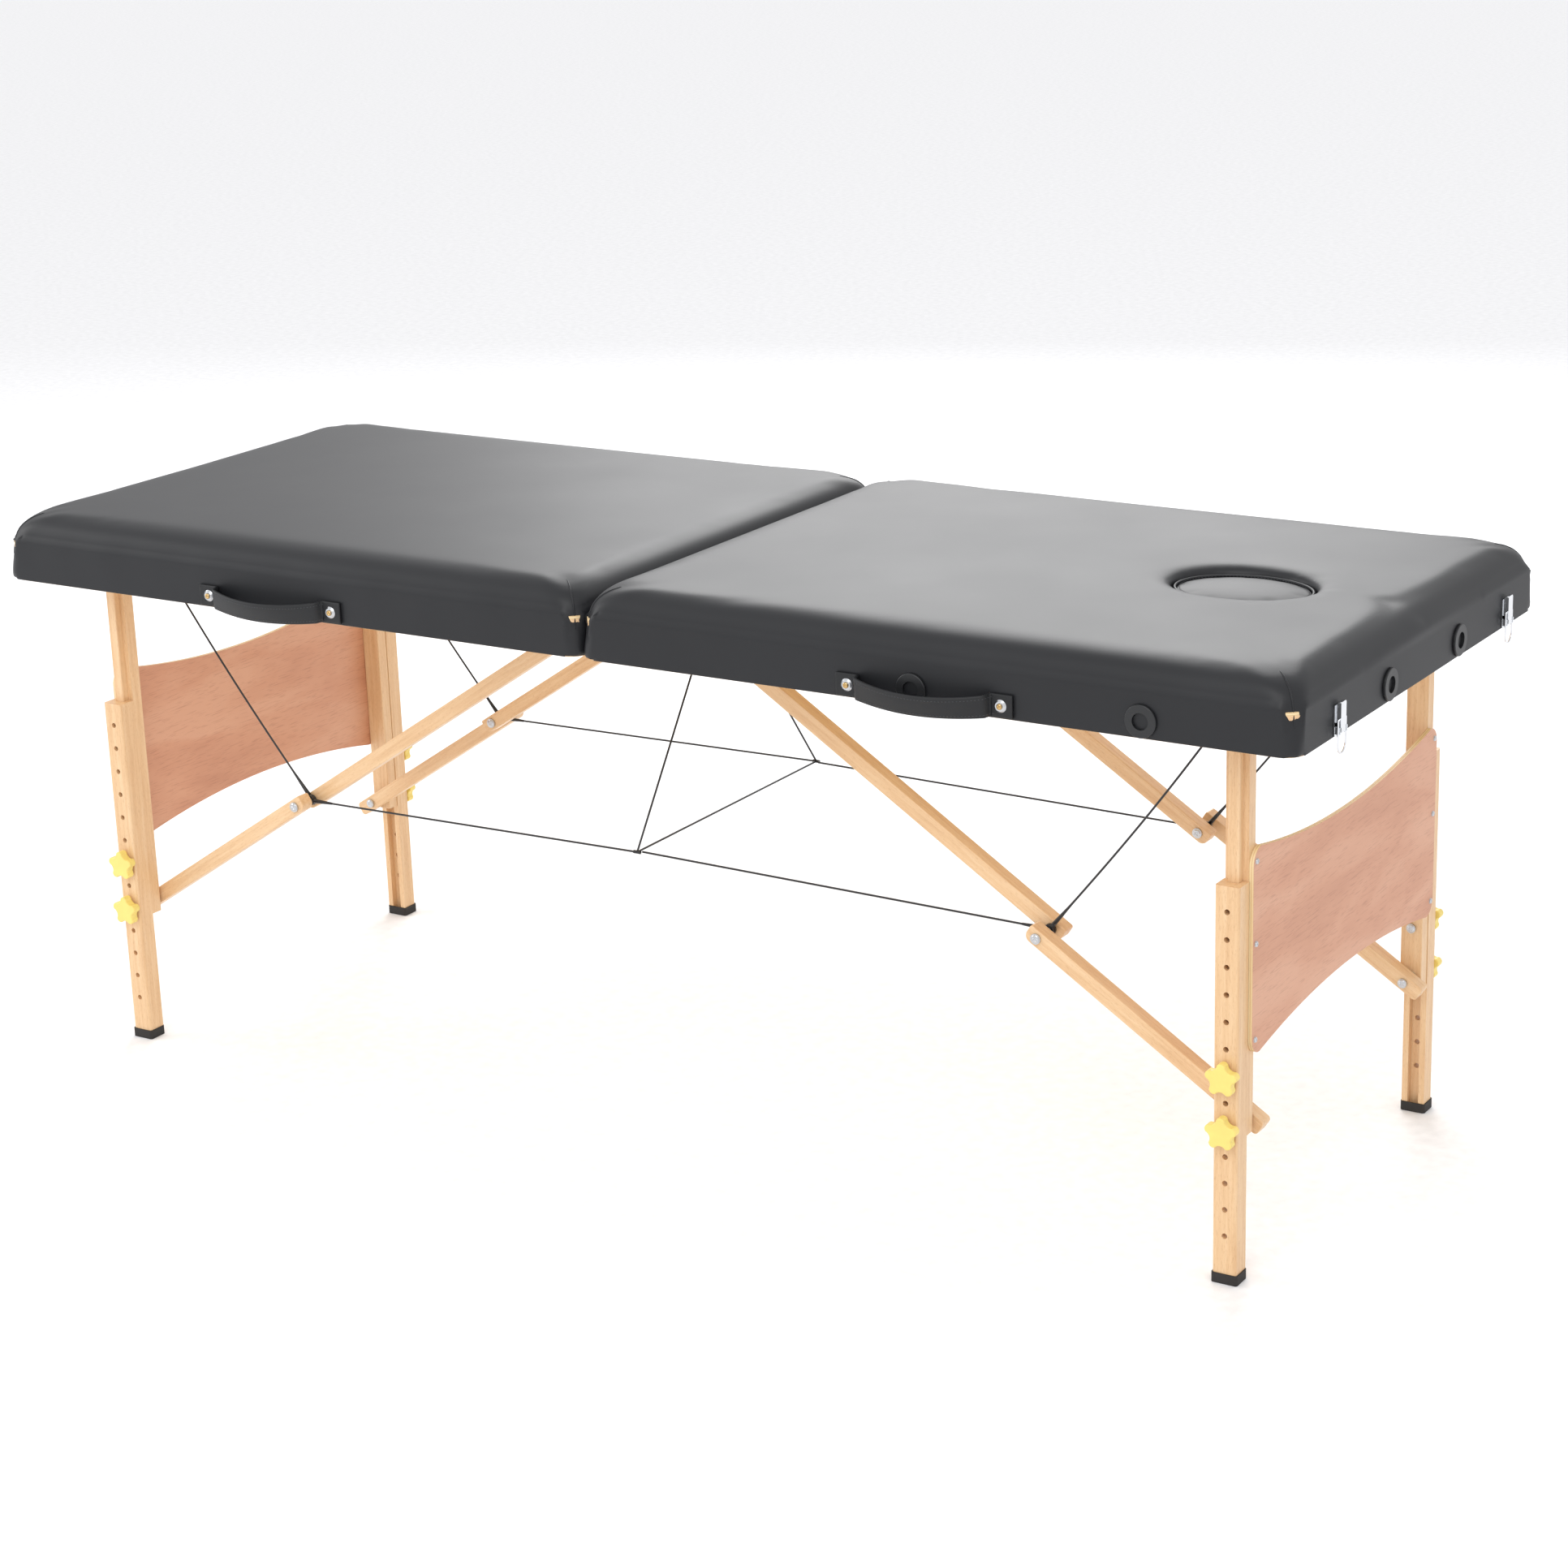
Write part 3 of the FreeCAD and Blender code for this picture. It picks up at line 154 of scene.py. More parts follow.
def tube(path, radii, count=12):
    """Round tube along a path; the side axes come from the tangent and one fixed direction."""
    along = np.gradient(path, axis=0)
    along /= np.linalg.norm(along, axis=1, keepdims=True)
    fixed = np.array([0.0, 1.0, 0.0]) if abs(along[:, 1]).max() < 0.9 else np.array([0.0, 0.0, 1.0])
    across = np.cross(along, fixed)
    across /= np.linalg.norm(across, axis=1, keepdims=True)
    upward = np.cross(along, across)
    unit = round_section(1.0, count)
    radii = np.broadcast_to(radii, len(path))[:, None, None]
    around = across[:, None] * unit[None, :, :1] + upward[:, None] * unit[None, :, 1:]
    return path[:, None, :] + radii * around


print("helpers ready")

# %% [markdown]
# Materials. Each is named for the real one. Colours are written as on a screen and turned to
# linear light by one function. A second function adds one node with its settings and links,
# and everything else is made from those two.

# %% Material helpers


def colour(code):
    """Screen hex to linear: ((c + 0.055) / 1.055) to the power 2.4, or c / 12.92 when dark."""
    c = np.array([int(code[i:i + 2], 16) for i in (1, 3, 5)]) / 255.0
    linear = np.where(c <= 0.04045, c / 12.92, ((c + 0.055) / 1.055) ** 2.4)
    return (*linear.tolist(), 1.0)


def add(tree, kind, links=(), **settings):
    """One node: settings set attributes or named sockets, links join (socket, source) pairs."""
    node = tree.nodes.new("ShaderNode" + kind)
    for key, value in settings.items():
        if hasattr(node, key):
            setattr(node, key, value)
        else:
            node.inputs[key.replace("_", " ")].default_value = value
    for socket, source in links:
        tree.links.new(source, node.inputs[socket])
    return node


def finish_of(name, roughness, metallic=0.0, **plain):
    """A new material with its shader; plain numbers sit on the shader's own sockets."""
    material = bpy.data.materials.new(name)
    material.use_nodes = True
    tree = material.node_tree
    shader = tree.nodes["Principled BSDF"]
    shader.inputs["Roughness"].default_value = roughness
    shader.inputs["Metallic"].default_value = metallic
    for key, value in plain.items():
        shader.inputs[key.replace("_", " ")].default_value = value
    return material, tree, shader


def ramp(tree, source, stops):
    """Colour ramp from (place, hex) stops."""
    node = add(tree, "ValToRGB", [("Fac", source)])
    elements = node.color_ramp.elements
    while len(elements) < len(stops):
        elements.new(0.5)
    for element, (place, code) in zip(elements, stops):
        element.position = place
        element.color = colour(code)
    return node


def bump(tree, shader, height, strength, distance_mm):
    """Surface relief of the given height in millimetres."""
    node = add(tree, "Bump", [("Height", height)], Strength=strength, Distance=distance_mm * MM)
    tree.links.new(node.outputs["Normal"], shader.inputs["Normal"])
    return node


print("material helpers ready")

# %% [markdown]
# Beech has a pale pink-cream ground, straight grain and short dark flecks, the rays, a few
# millimetres long. Stretching a noise along the piece gives the grain, and a finer stretched
# noise gives the flecks. The pattern has to run along each bar, so the finish takes the
# bar's own tilt. A clear varnish leaves a soft sheen.

# %% Beech
GRAIN_WIDTH_MM = 5.0
FLECK_WIDTH_MM = 0.9


def beech(name, turn=(0.0, 0.0, 0.0)):
    """Grain runs along the object's X after the given turn in radians."""
    material, tree, shader = finish_of(name, 0.42, Coat_Weight=0.18, Coat_Roughness=0.3)
    place = add(tree, "TexCoord").outputs["Object"]
    lined = add(tree, "Mapping", [("Vector", place)], vector_type="TEXTURE", Rotation=turn)
    long_grain = add(tree, "Mapping", [("Vector", lined.outputs[0])], Scale=(0.055, 1.0, 1.0))
    long_fleck = add(tree, "Mapping", [("Vector", lined.outputs[0])], Scale=(0.14, 1.0, 1.0))
    grain = add(tree, "TexNoise", [("Vector", long_grain.outputs[0])], Scale=1 / (GRAIN_WIDTH_MM * MM),
                Detail=5.0, Roughness=0.55, Distortion=0.4)
    fleck = add(tree, "TexNoise", [("Vector", long_fleck.outputs[0])], Scale=1 / (FLECK_WIDTH_MM * MM),
                Detail=2.0, Roughness=0.5)
    ground = ramp(tree, grain.outputs["Fac"], [(0.30, "#d9b083"), (0.48, "#e1bb8e"), (0.68, "#e7c59b")])
    dark = ramp(tree, fleck.outputs["Fac"], [(0.34, "#b98a5e"), (0.43, "#ffffff")])
    mixed = add(tree, "MixRGB", [("Color1", ground.outputs[0]), ("Color2", dark.outputs[0])],
                blend_type="MULTIPLY", Fac=0.2)
    tree.links.new(mixed.outputs[0], shader.inputs["Base Color"])
    bump(tree, shader, fleck.outputs["Fac"], 0.12, 0.25)
    return material


# %% [markdown]
# The end panels are thin plywood faced with rotary-peeled okoume: pinkish brown, with wide
# wandering bands where the knife followed the rings. The cut edge shows the pale plies, so
# the finish asks which way a face points, in the piece's own space, and draws stripes there.

# %% Okoume-faced plywood and the birch deck
PLY_MM = 1.4
FIGURE_MM = 60.0


def plywood(name, face_stops, edge_axis, figure_mm, satin):
    """Faces across edge_axis get the veneer, all others the stripes of the plies."""
    material, tree, shader = finish_of(name, satin, Coat_Weight=0.12, Coat_Roughness=0.35)
    coordinates = add(tree, "TexCoord")
    place = coordinates.outputs["Object"]
    stretched = add(tree, "Mapping", [("Vector", place)], Scale=(1.0, 0.22, 1.0))
    figure = add(tree, "TexNoise", [("Vector", stretched.outputs[0])], Scale=1 / (figure_mm * MM),
                 Detail=3.0, Roughness=0.5, Distortion=0.5)
    pores = add(tree, "Mapping", [("Vector", place)], Scale=(1.0, 0.05, 1.0))
    pore = add(tree, "TexNoise", [("Vector", pores.outputs[0])], Scale=1 / (1.1 * MM), Detail=1.0)
    face = ramp(tree, figure.outputs["Fac"], face_stops)
    pore_tone = ramp(tree, pore.outputs["Fac"], [(0.33, "#9c6b50"), (0.42, "#ffffff")])
    veneer = add(tree, "MixRGB", [("Color1", face.outputs[0]), ("Color2", pore_tone.outputs[0])],
                 blend_type="MULTIPLY", Fac=0.22)
    parts = add(tree, "SeparateXYZ", [("Vector", place)])
    layer = add(tree, "Math", [(0, parts.outputs[edge_axis])], operation="MULTIPLY")
    layer.inputs[1].default_value = np.pi / (PLY_MM * MM)
    wave = add(tree, "Math", [(0, layer.outputs[0])], operation="SINE")
    plies = ramp(tree, wave.outputs[0], [(0.0, "#e9d3a6"), (0.55, "#d8b888")])
    across = add(tree, "SeparateXYZ", [("Vector", coordinates.outputs["Normal"])])
    size = add(tree, "Math", [(0, across.outputs[edge_axis])], operation="ABSOLUTE")
    is_face = add(tree, "Math", [(0, size.outputs[0])], operation="GREATER_THAN")
    is_face.inputs[1].default_value = 0.7
    both = add(tree, "MixRGB", [("Fac", is_face.outputs[0]), ("Color1", plies.outputs[0]),
                                ("Color2", veneer.outputs[0])])
    tree.links.new(both.outputs[0], shader.inputs["Base Color"])
    bump(tree, shader, pore.outputs["Fac"], 0.1, 0.2)
    return material


okoume = plywood("okoume_plywood", [(0.28, "#c48b6d"), (0.46, "#cf9778"), (0.62, "#d6a284")],
                 "X", FIGURE_MM, 0.5)
birch = plywood("birch_plywood", [(0.3, "#d9bd8c"), (0.6, "#ecd8b0")], "Z", FIGURE_MM, 0.6)
print("wood finishes ready")

# %% [markdown]
# The cover is soft PVC upholstery vinyl on a knitted back: nearly black with a blue-grey
# cast, a fine pressed leather grain about a millimetre across, and a satin face that turns
# bright along a rounded edge. Roughness wanders a little, as where hands have been.

# %% Upholstery vinyl
VINYL_GRAIN_MM = 1.3


def upholstery_vinyl(name, ground, worn, roughness):
    material, tree, shader = finish_of(name, roughness, Specular_IOR_Level=0.38)
    place = add(tree, "TexCoord").outputs["Object"]
    cells = add(tree, "TexVoronoi", [("Vector", place)], feature="F1", Scale=1 / (VINYL_GRAIN_MM * MM))
    soft = add(tree, "TexNoise", [("Vector", place)], Scale=1 / (140 * MM), Detail=3.0)
    tone = ramp(tree, soft.outputs["Fac"], [(0.35, ground), (0.7, worn)])
    tree.links.new(tone.outputs[0], shader.inputs["Base Color"])
    gloss = add(tree, "MapRange", [("Value", soft.outputs["Fac"])], From_Min=0.3, From_Max=0.7,
                To_Min=roughness - 0.01, To_Max=roughness + 0.015)
    tree.links.new(gloss.outputs[0], shader.inputs["Roughness"])
    bump(tree, shader, cells.outputs["Distance"], 0.16, 0.12)
    return material


vinyl = upholstery_vinyl("upholstery_vinyl", "#1b1c1f", "#1e1f22", 0.47)
strap_vinyl = upholstery_vinyl("strap_vinyl", "#191a1c", "#202123", 0.50)

# %% [markdown]
# Small fittings: zinc plate on screws and hinges, chrome on the latches, moulded nylon in
# butter yellow on the knobs, black polypropylene in the socket grommets, EPDM rubber on the
# feet, and black PVC over the steel cables. Plated metal keeps the shader's default IOR.

# %% Plated metal, plastic, rubber


def plain_finish(name, code, roughness, metallic=0.0, speck_mm=0.6, relief_mm=0.03, spread=0.06, **more):
    """An even colour with a slight speckle in roughness and relief, at the given size."""
    material, tree, shader = finish_of(name, roughness, metallic, **more)
    place = add(tree, "TexCoord").outputs["Object"]
    speck = add(tree, "TexNoise", [("Vector", place)], Scale=1 / (speck_mm * MM), Detail=3.0)
    wide = add(tree, "TexNoise", [("Vector", place)], Scale=1 / (18 * MM), Detail=2.0)
    shade = add(tree, "HueSaturation", Color=colour(code))
    value = add(tree, "MapRange", [("Value", wide.outputs["Fac"])], To_Min=0.9, To_Max=1.1)
    tree.links.new(value.outputs[0], shade.inputs["Value"])
    tree.links.new(shade.outputs[0], shader.inputs["Base Color"])
    gloss = add(tree, "MapRange", [("Value", speck.outputs["Fac"])], To_Min=roughness - spread,
                To_Max=roughness + spread)
    tree.links.new(gloss.outputs[0], shader.inputs["Roughness"])
    bump(tree, shader, speck.outputs["Fac"], 0.3, relief_mm)
    return material


zinc = plain_finish("zinc_plate", "#c9cbce", 0.30, 1.0)
brass_zinc = plain_finish("yellow_zinc_plate", "#c8a873", 0.28, 1.0)
chrome = plain_finish("chrome_plate", "#e3e5e8", 0.10, 1.0, relief_mm=0.004, spread=0.03)
nylon = plain_finish("yellow_nylon", "#f0d878", 0.42, speck_mm=0.9, relief_mm=0.02)
polypropylene = plain_finish("black_polypropylene", "#1d1e20", 0.38, speck_mm=0.5)
rubber = plain_finish("foot_rubber", "#2a2725", 0.75, speck_mm=0.8, relief_mm=0.06)
cable_coat = plain_finish("cable_coat", "#202124", 0.36, speck_mm=0.8)
thread = plain_finish("polyester_thread", "#3a3b3f", 0.6, speck_mm=0.4, relief_mm=0.05)
print("fitting finishes ready")

# %% [markdown]
# The frame's own pieces keep their shape and get these finishes. Grain has to follow each
# bar: rails run along X, legs stand along Z, and the braces lean, each by its own slope.

# %% Finishes for the frame's pieces
BRACE_PIVOT = (0.040, 0.688)
LOWER_BOLT = (0.818, 0.189)
SLOPE = float(np.arctan2(BRACE_PIVOT[1] - LOWER_BOLT[1], LOWER_BOLT[0] - BRACE_PIVOT[0]))
beech_along = beech("beech_rails")
beech_upright = beech("beech_legs", (0.0, np.pi / 2, 0.0))
beech_across = beech("beech_cross_members", (0.0, 0.0, np.pi / 2))
beech_braces = {end: beech(end + "_brace_beech", (0.0, SIGN[end] * SLOPE, 0.0)) for end in ENDS}


def finish_node(name, material):
    """Puts one finish on every slot of a frame piece, leaving its shape alone."""
    obj = NODES[name]
    if not obj.data.materials:
        obj.data.materials.append(material)
    for number in range(len(obj.material_slots)):
        obj.material_slots[number].material = material


shared = {"side_rails": beech_along, "cross_members": beech_across, "deck": birch, "hinge_leaves": zinc,
          "fasteners": zinc, "uprights": beech_upright, "panel": okoume, "leg_fasteners": zinc,
          "knee_barrels": zinc, "knee_screws": zinc, "centre_cables": cable_coat, "end_cables": cable_coat,
          "cover": vinyl, "foam": thread, "handle": strap_vinyl,
          "extension_far": beech_upright, "extension_near": beech_upright,
          "foot_cap_far": rubber, "foot_cap_near": rubber}
for end in ENDS:
    for part, material in shared.items():
        finish_node(end + "_" + part, material)
    for part in ("upper_braces", "lower_braces"):
        finish_node(end + "_" + part, beech_braces[end])
    for side in ("far", "near"):
        for level in ("upper", "lower"):
            finish_node(f"{end}_knob_{side}_{level}", nylon)
for name, material in {"hinge_pins": zinc, "face_plug": vinyl, "socket_liners": polypropylene,
                       "latch_bases": chrome, "latch_keepers": chrome, "bridle": cable_coat,
                       "latch_lever_far": chrome, "latch_lever_near": chrome,
                       "latch_bail_far": chrome, "latch_bail_near": chrome}.items():
    finish_node(name, material)
print("finished", len(NODES), "frame pieces")

# %% [markdown]
# Upholstery. Vinyl is pulled over the foam and stapled under the frame, so the top stays
# nearly flat, the edge rolls over in a wide soft curve, and the skin is held in wherever a
# fitting is screwed through it. It starts as a slightly small closed form: rings of a
# rounded rectangle, one above the other, sharp at the frame and generous at the top. The
# cloth solver then blows it out a little against its fastenings.

# %% The form of a half table


def node_box(name):
    """Lowest and highest corner of a frame piece, as arrays."""
    low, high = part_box(name)
    return np.array(low), np.array(high)


HALF_BOX = {end: node_box(end + "_cover") for end in ENDS}
PLUG_LOW, PLUG_HIGH = node_box("face_plug")
FRAME_BOTTOM = HALF_BOX["head"][0][2]
TABLE_TOP = HALF_BOX["head"][1][2]
DECK_TOP = PLUG_LOW[2]
START_INSET = 0.3 * MM
BOTTOM_CORNER, TOP_CORNER = 11 * MM, 44 * MM
TOP_ROLL = 30 * MM
HOLE_CENTRE = (PLUG_LOW + PLUG_HIGH) / 2
HOLE_HALF = (PLUG_HIGH - PLUG_LOW)[:2] / 2 + MM


def rounded_rectangle(centre, half, radius, per_corner=14):
    """Outline: four quarter circles of the radius about the inner corners, joined by straights."""
    turn = np.linspace(0, np.pi / 2, per_corner)
    quarter = np.arange(4)[:, None] * np.pi / 2
    signs = np.array([[1, 1], [-1, 1], [-1, -1], [1, -1]])
    inner = signs * (np.asarray(half) - radius) + np.asarray(centre)
    arcs = np.stack([np.cos(turn[None] + quarter), np.sin(turn[None] + quarter)], -1) * radius
    return (arcs + inner[:, None]).reshape(-1, 2)


def half_form(end):
    """Rings (inset, height): straight side, then a quarter circle of TOP_ROLL into the top."""
    low, high = HALF_BOX[end]
    centre, half = (low + high)[:2] / 2, (high - low)[:2] / 2 - START_INSET
    top = TABLE_TOP - START_INSET
    straight = np.linspace(FRAME_BOTTOM, top - TOP_ROLL, 8)
    turn = np.linspace(0, np.pi / 2, 10)[1:]
    insets = np.concatenate([np.zeros(len(straight)), TOP_ROLL * (1 - np.cos(turn))])
    heights = np.concatenate([straight, top - TOP_ROLL + TOP_ROLL * np.sin(turn)])
    share = (heights - FRAME_BOTTOM) / (top - FRAME_BOTTOM)
    radii = BOTTOM_CORNER + (TOP_CORNER - BOTTOM_CORNER) * share ** 1.5
    outlines = np.array([rounded_rectangle(centre, half - inset, radius)
                         for inset, radius in zip(insets, radii)])
    levels = np.broadcast_to(heights[:, None, None], outlines.shape[:2] + (1,))
    rings = np.concatenate([outlines, levels], axis=-1)
    return piece(end + "_upholstery", [(rings, False, True, True)], vinyl)


def apply_modifier(obj, kind, **settings):
    """Adds a modifier and applies it at once."""
    modifier = obj.modifiers.new(kind, kind)
    for key, value in settings.items():
        setattr(modifier, key, value)
    bpy.context.view_layer.objects.active = obj
    bpy.ops.object.modifier_apply(modifier=modifier.name)


def ellipse_ring(half, inset, height, count=96):
    """Ellipse (a cos t, b sin t) with both half axes reduced by the inset."""
    turn = np.linspace(0, 2 * np.pi, count, endpoint=False)
    return np.stack([HOLE_CENTRE[0] + (half[0] - inset) * np.cos(turn),
                     HOLE_CENTRE[1] + (half[1] - inset) * np.sin(turn), np.full(count, height)], -1)


def face_hole_cutter():
    """Flares at the rim by a quarter circle, so the vinyl rolls into the hole."""
    roll = 5 * MM
    turn = np.linspace(0, np.pi / 2, 7)
    insets = np.concatenate([[0.0], -roll * (1 - np.cos(turn)), [-roll * 1.4]])
    heights = np.concatenate([[DECK_TOP + 0.5 * MM], TABLE_TOP - START_INSET - roll + roll * np.sin(turn),
                              [TABLE_TOP + 20 * MM]])
    rings = np.array([ellipse_ring(HOLE_HALF, inset, height) for inset, height in zip(insets, heights)])
    return piece("face_hole_cutter", [(rings, False, True, True)], None)


pads = {end: half_form(end) for end in ENDS}
cutter = face_hole_cutter()
apply_modifier(pads["head"], "BOOLEAN", object=cutter, operation="DIFFERENCE", solver="EXACT")
bpy.data.objects.remove(cutter)
print("pad forms", {end: len(pad.data.vertices) for end, pad in pads.items()})

# %% [markdown]
# The simulation. The form is remeshed to even squares, since cloth folds badly on long thin
# faces. A vertex group holds what is fastened: the stapled lower edge, the wall of the face
# hole, and a small patch behind each screw, socket and latch. Pressure pushes everything
# else out, and no point may move further than a cap. Where a fitting holds the skin in, a
# dimple with soft folds is left around it.

# %% Cloth under pressure
VOXEL = 6 * MM
PRESSURE = 2.0
CLOTH_FRAMES = 20
CAP = 2.5 * MM
SIDE_FACE, END_FACE = 0.353, 0.925
STRAP_Z = 0.670
SOCKET_XS, SOCKET_YS, SOCKET_Z = (0.4565, 0.742), (-0.104, 0.104), 0.674
LATCH_YS, LATCH_Z, KEEPER_Z = (-0.25, 0.25), 0.672, 0.671
STRAP_PATCH, SOCKET_PATCH, LATCH_PATCH = 13 * MM, 21 * MM, 15 * MM
STRAP_END_TO_SCREW = 15 * MM


def coordinates_of(mesh):
    flat = np.empty(len(mesh.vertices) * 3, np.float32)
    mesh.vertices.foreach_get("co", flat)
    return flat.reshape(-1, 3).astype(float)


def write_coordinates(mesh, points):
    mesh.vertices.foreach_set("co", points.astype(np.float32).ravel())
    mesh.update()


def remesh(obj, size):
    obj.data.remesh_voxel_size = size
    bpy.context.view_layer.objects.active = obj
    bpy.ops.object.voxel_remesh()


def inflate(obj, held, cap):
    """Runs the cloth for CLOTH_FRAMES, then keeps start + move, with each move cut to the cap."""
    start = coordinates_of(obj.data)
    group = obj.vertex_groups.new(name="held")
    group.add(np.nonzero(held)[0].tolist(), 1.0, "REPLACE")
    cloth = obj.modifiers.new("cloth", "CLOTH")
    cloth.settings.quality = 5
    cloth.settings.mass = 0.3
    cloth.settings.tension_stiffness = 25.0
    cloth.settings.compression_stiffness = 10.0
    cloth.settings.shear_stiffness = 8.0
    cloth.settings.bending_stiffness = 3.0
    cloth.settings.use_pressure = True
    cloth.settings.uniform_pressure_force = PRESSURE
    cloth.settings.effector_weights.gravity = 0.0
    cloth.settings.vertex_group_mass = "held"
    cloth.collision_settings.use_collision = False
    cloth.point_cache.frame_start = 1
    cloth.point_cache.frame_end = CLOTH_FRAMES
    for number in range(1, CLOTH_FRAMES + 1):
        bpy.context.scene.frame_set(number)
    shaped = obj.evaluated_get(bpy.context.evaluated_depsgraph_get())
    move = coordinates_of(shaped.data) - start
    length = np.linalg.norm(move, axis=1, keepdims=True)
    move *= np.minimum(1.0, cap / np.maximum(length, 1e-9))
    obj.modifiers.remove(cloth)
    obj.vertex_groups.remove(group)
    write_coordinates(obj.data, start + move)
    bpy.context.scene.frame_set(1)
    print(obj.name, "moved up to", round(float(length.max()) * 1000, 1), "mm before the cap")


def fastenings(end):
    """Centres and radii of the patches that fittings hold in."""
    low, high = node_box(end + "_handle")
    held = [((x, -SIDE_FACE, STRAP_Z), STRAP_PATCH)
            for x in (low[0] + STRAP_END_TO_SCREW, high[0] - STRAP_END_TO_SCREW)]
    if end == "head":
        held += [((x, y, SOCKET_Z), SOCKET_PATCH) for x in SOCKET_XS for y in (-SIDE_FACE, SIDE_FACE)]
        held += [((END_FACE, y, SOCKET_Z), SOCKET_PATCH) for y in SOCKET_YS]
    latch_z = LATCH_Z if end == "head" else KEEPER_Z
    return held + [((SIGN[end] * END_FACE, y, latch_z), LATCH_PATCH) for y in LATCH_YS]


def held_points(end, points):
    """True on the lower edge, on the hole's wall and within each fitting's patch."""
    held = points[:, 2] < FRAME_BOTTOM + 4 * MM
    for centre, radius in fastenings(end):
        held |= np.linalg.norm(points - np.array(centre), axis=1) < radius
    if end == "head":
        away = (points[:, :2] - HOLE_CENTRE[:2]) / (HOLE_HALF + 1.5 * MM)
        held |= (np.linalg.norm(away, axis=1) < 1.0) & (points[:, 2] < TABLE_TOP - 14 * MM)
    return held


def keep_clear(end, points):
    """Keeps each half on its own side of the joint, and fittings' patches on the cover's face."""
    low, high = HALF_BOX[end]
    limit = 0.7 * MM
    if end == "head":
        points[:, 0] = np.maximum(points[:, 0], limit)
    else:
        points[:, 0] = np.minimum(points[:, 0], -limit)
    for (x, y, z), radius in fastenings(end):
        away = points - np.array([x, y, z])
        near = np.clip(1.6 - np.linalg.norm(away, axis=1) / radius, 0.0, 1.0)
        axis = 0 if abs(x) > 0.9 else 1
        face = (high if (x, y)[axis] > 0 else low)[axis]
        face -= np.sign(face) * 0.6 * MM
        points[:, axis] += (face - points[:, axis]) * near * (np.abs(points[:, axis] - face) < 14 * MM)
    return points


def straighten(points, end):
    """Below the rolled edge the skin lies on the rails: the sides are set 0.3 mm under the box."""
    low, high = HALF_BOX[end]
    straight = points[:, 2] < TABLE_TOP - TOP_ROLL
    for axis, (lowest, highest) in enumerate(zip(low[:2], high[:2])):
        near_high = straight & (points[:, axis] > highest - 6 * MM)
        near_low = straight & (points[:, axis] < lowest + 6 * MM)
        corner = BOTTOM_CORNER + 4 * MM
        other = points[:, 1 - axis]
        plain = (other > low[1 - axis] + corner) & (other < high[1 - axis] - corner)
        points[:, axis] = np.where(near_high & plain, highest - 0.3 * MM, points[:, axis])
        points[:, axis] = np.where(near_low & plain, lowest + 0.3 * MM, points[:, axis])
    return points


def soft_folds(points, end):
    """Shallow waves along the sides, sin(s / 31 mm) * sin(z), and a slight crown on the top."""
    low, high = HALF_BOX[end]
    centre, half = (low + high) / 2, (high - low) / 2
    flat = np.clip(1 - ((points - centre)[:, :2] / half[:2]) ** 2, 0, 1).prod(axis=1)
    lifted = (points[:, 2] > TABLE_TOP - 12 * MM) * flat * 2.2 * MM
    points[:, 2] += lifted
    side = np.abs(points[:, 1] - centre[1]) > half[1] - 8 * MM
    along = points[:, 0] * 1000
    wave = (np.sin(along / 31 + 1.3) + 0.6 * np.sin(along / 13.7)) * 0.28 * MM
    height = np.clip((points[:, 2] - FRAME_BOTTOM) / (TABLE_TOP - FRAME_BOTTOM), 0, 1)
    points[:, 1] += np.sign(points[:, 1]) * side * wave * np.sin(np.pi * height)
    return points


def open_underneath(obj, end):
    """Deletes the closing faces below the frame and the floor of the face hole, leaving a skin."""
    shell = bmesh.new()
    shell.from_mesh(obj.data)
    gone = [face for face in shell.faces
            if face.calc_center_median().z < FRAME_BOTTOM + 2 * MM and abs(face.normal.z) > 0.7]
    if end == "head":
        reach = HOLE_HALF - 2 * MM
        gone += [face for face in shell.faces
                 if face.calc_center_median().z < DECK_TOP + 6 * MM and face.normal.z > 0.7
                 and ((face.calc_center_median().x - HOLE_CENTRE[0]) / reach[0]) ** 2
                 + ((face.calc_center_median().y - HOLE_CENTRE[1]) / reach[1]) ** 2 < 1.0]
    bmesh.ops.delete(shell, geom=gone, context="FACES")
    shell.to_mesh(obj.data)
    shell.free()


for end, pad in pads.items():
    remesh(pad, VOXEL)
    points = coordinates_of(pad.data)
    inflate(pad, held_points(end, points), CAP)
    apply_modifier(pad, "SMOOTH", factor=0.5, iterations=10)
    settled = straighten(coordinates_of(pad.data), end)
    write_coordinates(pad.data, soft_folds(keep_clear(end, settled), end))
    open_underneath(pad, end)
    pad.data.polygons.foreach_set("use_smooth", [True] * len(pad.data.polygons))
    wall = pad.modifiers.new("thickness", "SOLIDIFY")
    wall.thickness = 1.1 * MM
    wall.offset = -1.0
    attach(pad, end + "_half")
    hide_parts(end + "_cover", end + "_foam")
    print(pad.name, "faces", len(pad.data.polygons))

# %% [markdown]
# Corner seams. The cover is cut flat and sewn at each corner, and the seam shows as a thin
# raised line that runs from the top surface down over the edge to the middle of the side.
# Its points are found on the finished skin: rays are sent in from outside along the corner's
# diagonal, and a fine bead follows where they land.

# %% Seams and stitches
SEAM_RADIUS = 1.2 * MM
STITCH_PITCH = 4.2 * MM
SEAM_CENTRE = 45 * MM
RAY_START = 120 * MM


def skin_of(obj):
    """A search tree of the piece's surface as it stands."""
    graph = bpy.context.evaluated_depsgraph_get()
    return BVHTree.FromObject(obj, graph)


